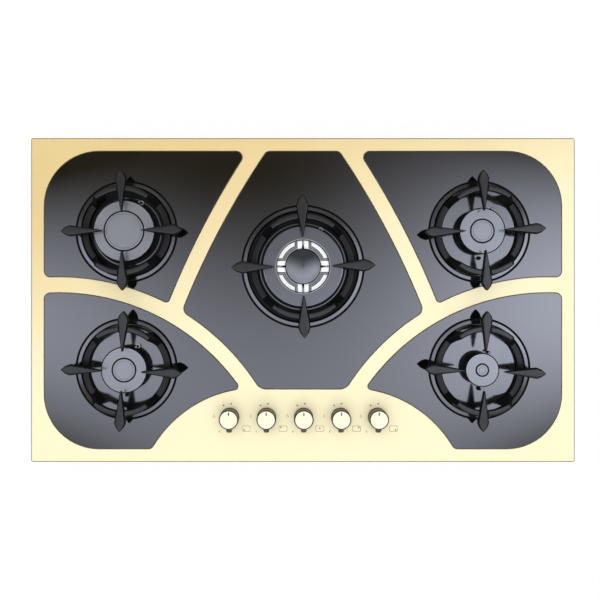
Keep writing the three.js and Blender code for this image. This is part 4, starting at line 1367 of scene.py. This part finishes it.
def knobShell(spot):
    # A turned cup, open below for the spindle, with a grooved side and a sunk disc in its end.
    # Corners are (radius, height, rounding, finish).
    look = knobLook
    foot, top = levels["knobFoot"], levels["knobTop"]
    skirt, disc = foot + look["skirt"], top - look["discDrop"]
    radius, bore, boreTop = look["radius"], look["bore"], levels["plate"] + look["boreTop"]
    # Finish 1, on the side, the edge round the disc and the lug, is painted dark for the dark
    # reflections of a chrome side.
    corners = [
        (0, boreTop, 0, 1), (bore, boreTop, 0.1, 1), (bore, foot, 0.2, 1), (radius, foot, 0.5, 1),
        (radius, skirt, 0.4, 1), (look["neck"], skirt + 0.8, 0.4, 1),
        (radius, top - look["edge"], 0.5, 1), (radius - look["edge"] * 0.8, top, 0.5, 1),
        (look["disc"] + 0.25, top, 0.15, 1), (look["disc"], disc, 0.1, 0), (0, disc, 0, 0),
    ]
    return latheCorners(corners, spot, look["segments"], False)


def lugShell(spot):
    # Sections from root to nose, narrower and lower towards the nose, whose end is rounded by the
    # square root of the way left to it.
    look = lugLook
    skirt = levels["knobFoot"] + knobLook["skirt"]
    reach = knobLook["radius"] + look["reach"]
    start = reach - look["nose"]
    straight, curved = look["steps"]
    end = start + np.sin(np.linspace(0, np.pi / 2, curved)[1:])
    along = np.concatenate([np.linspace(look["root"], start, straight), end])
    share = (along - look["root"]) / (reach - look["root"])
    left = np.sqrt(np.clip((reach - along) / look["nose"], 0, 1))[:, None]
    nose = left * (1 - look["noseWidth"]) + look["noseWidth"]
    half = (look["width"] + (look["end"] - look["width"]) * share)[:, None] / 2 * nose
    high = levels["knobTop"] - np.interp(share, look["topAt"], look["top"])[:, None]
    across, up = squareRound(*look["round"])
    z = (high + skirt) / 2 + (high - skirt) / 2 * up[None, :] * (0.5 + 0.5 * nose)
    y = spot[1] - np.repeat(along[:, None], len(across), 1)
    return closedGrid(np.stack([spot[0] + half * across[None, :], y, z], -1), False, 1)


def tickShell(spot):
    # A thin rounded bar on the disc, from near the middle towards the rear.
    look = tickLook
    disc = levels["knobTop"] - knobLook["discDrop"]
    z = np.array([disc - look["sunk"], disc + look["high"]])[:, None]
    across, up = squareRound(*lugLook["round"])
    x = spot[0] + look["half"] * across[None, :] * np.ones_like(z)
    middle, half = (look["from"] + look["to"]) / 2, (look["to"] - look["from"]) / 2
    y = spot[1] + middle + half * up[None, :] * np.ones_like(z)
    return closedGrid(np.stack([x, y, z + 0 * x], -1), False, 2)


def makeKnob(name):
    # Cup, lug and tick round the spindle's axis, as one piece.
    spot = middleOf("spindle_" + name)[:2]
    title = "knob_" + name
    mesh = meshOf(title, [knobShell(spot), lugShell(spot), tickShell(spot)])
    addPiece(title + "_grip", mesh, ["knobDisc", "knobSide", "tick"], title, [title])


for knob in knobNames:
    makeKnob(knob)
print("knobs")


# Marks round each knob, from its axis: a dot for off and one for the spark, two flames, and a
# small chart of the five burners with a dot at the knob's own.
markLook = {
    "high": 0.06, "sunk": 0.02, "dot": 1.25, "offDot": (2, 21.3), "sparkDot": (-10.4, 18.6),
    "largeFlame": (-26.5, 0.5, 3.2), "smallFlame": (-17.3, -24.5, 2.2), "flameLine": 0.85,
    "chart": (26.6, -19.5), "chartHalf": (6.9, 4.9), "line": 0.55, "dotSegments": 24,
}
chartSpots = {
    "front_left": (-3.6, -2.2), "rear_left": (-3.6, 2.2), "centre": (0, 0.5),
    "rear_right": (3.6, 2.2), "front_right": (3.6, -2.2),
}


def inkShape(outlines, kind):
    # A printed shape: a very thin slab between its outline and its holes.
    low, high = levels["plate"] - markLook["sunk"], levels["plate"] + markLook["high"]
    shells = [
        wallRing([loop] * 2, [high, low], kind, flip=(i == 0)) for i, loop in enumerate(outlines)
    ]
    for height, upward in ((high, True), (low, False)):
        points, faces, _ = flatRing(outlines, height, upward)
        shells.append((points, faces, np.full(len(faces), kind + flatKind)))
    return shells


def flameLoop(spot, size):
    # A drop: a circle whose upper half is drawn out to a point.
    turn = np.linspace(0, 2 * np.pi, 32, endpoint=False)
    rise = np.clip(np.sin(turn), 0, 1)
    stretch = 1 + 0.75 * rise ** 3
    narrow = 1 - 0.55 * rise
    return spot + size * 0.62 * (narrow * np.cos(turn) + 1j * stretch * np.sin(turn))


def chartLoop(spot, drawnIn):
    # A rectangle with round corners.
    halfX, halfY = markLook["chartHalf"]
    across, up = squareRound(48, 6)
    return spot + (halfX - drawnIn) * across + 1j * (halfY - drawnIn) * up


def makeMarks():
    # All the knobs' marks are one printed layer.
    look = markLook
    shells = []
    for name in knobNames:
        spot = knobSpot(name)
        for key in ("offDot", "sparkDot"):
            dot = circleLoop(spot + complex(*look[key]), look["dot"], look["dotSegments"])
            shells += inkShape([dot], 0)
        for key in ("largeFlame", "smallFlame"):
            x, y, size = look[key]
            flame = spot + complex(x, y)
            inner = flameLoop(flame - 0.1j, size - look["flameLine"])
            shells += inkShape([flameLoop(flame, size), inner], 1)
        chart = spot + complex(*look["chart"])
        shells += inkShape([chartLoop(chart, 0), chartLoop(chart, look["line"])], 1)
        dot = circleLoop(chart + complex(*chartSpots[name]), look["dot"], look["dotSegments"])
        shells += inkShape([dot], 0)
    mesh = meshOf("knob_marks", shells)
    addPiece("knob_marks", mesh, ["ink", "paleInk"], rootBody)


makeMarks()
print("marks")


sealLook = {"near": 1.6, "far": 9.6, "lowGap": 0.2, "highGap": 0.05}


def makeSeal():
    # A flat band inside the plate's edge, from the worktop up to the plate's underside.
    look = sealLook
    low = levels["rim"] + look["lowGap"]
    high = levels["plate"] - sheet - look["highGap"]
    corners = ((look["near"], low), (look["near"], high), (look["far"], high), (look["far"], low))
    points = np.stack([levelLoop(plateBorder(inward), height) for inward, height in corners])
    mesh = meshOf("worktop_seal", [closedGrid(points, True)])
    addPiece("worktop_seal", mesh, ["foam"], rootBody)


clampLook = {
    "places": ((-1, 130), (-1, -130), (1, 130), (1, -130)), "housing": 415, "strip": 1.5,
    "width": 22, "end": 0.01, "gap": 0.1, "root": 47, "fold": 16, "bend": (11.5, 12.8),
    "tip": (15.2, 45), "screwHeight": 36, "screwSegments": 24,
    "screw": [(0, 0, 0), (3.4, 0, 0.2), (3.4, 1.2, 0.6), (2.0, 2.2, 0.6), (0, 2.4, 0)],
}


def makeClamps():
    # A folded strip: its side view, as (distance from the housing, height, rounding), runs down
    # the housing, out, and back up under the worktop. Its screw is a round head, turned about X.
    look = clampLook
    gap, strip, root, fold = look["gap"], look["strip"], look["root"], look["fold"]
    (bendIn, bendOut), (tip, tipHeight) = look["bend"], look["tip"]
    outline, _ = softProfile([
        (gap, root, 0), (gap + strip, root, 0.4), (gap + strip, fold, 1.2), (bendIn, fold, 1.2),
        (tip, tipHeight, 0.4), (tip + strip, tipHeight, 0.4), (bendOut, fold - strip, 1.6),
        (gap, fold - strip, 1.0),
    ], True)
    head, _ = softProfile(look["screw"], False)
    turn = np.linspace(0, 2 * np.pi, look["screwSegments"], endpoint=False)[None, :]
    half, end = look["width"] / 2, look["end"]
    shells = []
    for side, y in look["places"]:
        rows = np.array([y - half, y - half + end, y + half - end, y + half])[:, None]
        x = side * (look["housing"] + outline[None, :, 0]) + 0 * rows
        z = outline[None, :, 1] + 0 * x
        shells.append(closedGrid(np.stack([x, rows + 0 * x, z], -1)))
        reach = side * (look["housing"] + strip + head[:, 1:]) + 0 * turn
        screwY, screwZ = head[:, :1] * np.cos(turn), head[:, :1] * np.sin(turn)
        screw = np.stack([reach, y + screwY, look["screwHeight"] + screwZ], -1)
        shells.append(closedGrid(screw))
    mesh = meshOf("worktop_clamps", shells)
    addPiece("worktop_clamps", mesh, ["zinc"], rootBody)


threadLook = {
    "axis": (380.0, 18.0), "from": 244.0, "to": 254.9, "pitch": 1.81, "core": 10.15,
    "depth": 0.85, "bore": 9.0, "fade": 0.8, "rows": 150, "segments": 60, "crease": 60,
}


def makeThread():
    # A screw thread: the radius rises and falls once for each pitch along Y, shifted with the
    # angle, and runs out at the end.
    look = threadLook
    x, z = look["axis"]
    y = np.linspace(look["from"], look["to"], look["rows"])[:, None]
    turn = np.linspace(0, 2 * np.pi, look["segments"], endpoint=False)[None, :]
    phase = (y / look["pitch"] + turn / (2 * np.pi)) % 1
    fade = np.clip((look["to"] - y) / look["fade"], 0, 1) * 0.5 + 0.5
    radius = look["core"] + look["depth"] * (1 - np.abs(2 * phase - 1)) * fade
    outer = np.stack([x + radius * np.cos(turn), y + 0 * turn, z + radius * np.sin(turn)], -1)
    inner = outer[[-1, 0]].copy()
    inner[..., 0] = x + look["bore"] * np.cos(turn)
    inner[..., 2] = z + look["bore"] * np.sin(turn)
    shell = closedGrid(np.concatenate([outer, inner]), True)
    mesh = meshOf("inlet_thread", [shell], look["crease"])
    addPiece("inlet_thread", mesh, ["brass"], rootBody)


makeSeal()
makeClamps()
makeThread()

for node, look in (("housing", "zinc"), ("gas_rail", "zinc"), ("ignition_module", "plastic")):
    dress(node, look)
for burner in burnerNames:
    dress("burner_base_" + burner, "aluminium")
for knob in knobNames:
    dress("gas_tap_" + knob, "brass")
    dress("spindle_" + knob, "zinc")
    dress("supply_pipe_" + knob, "aluminium")
print("underneath")
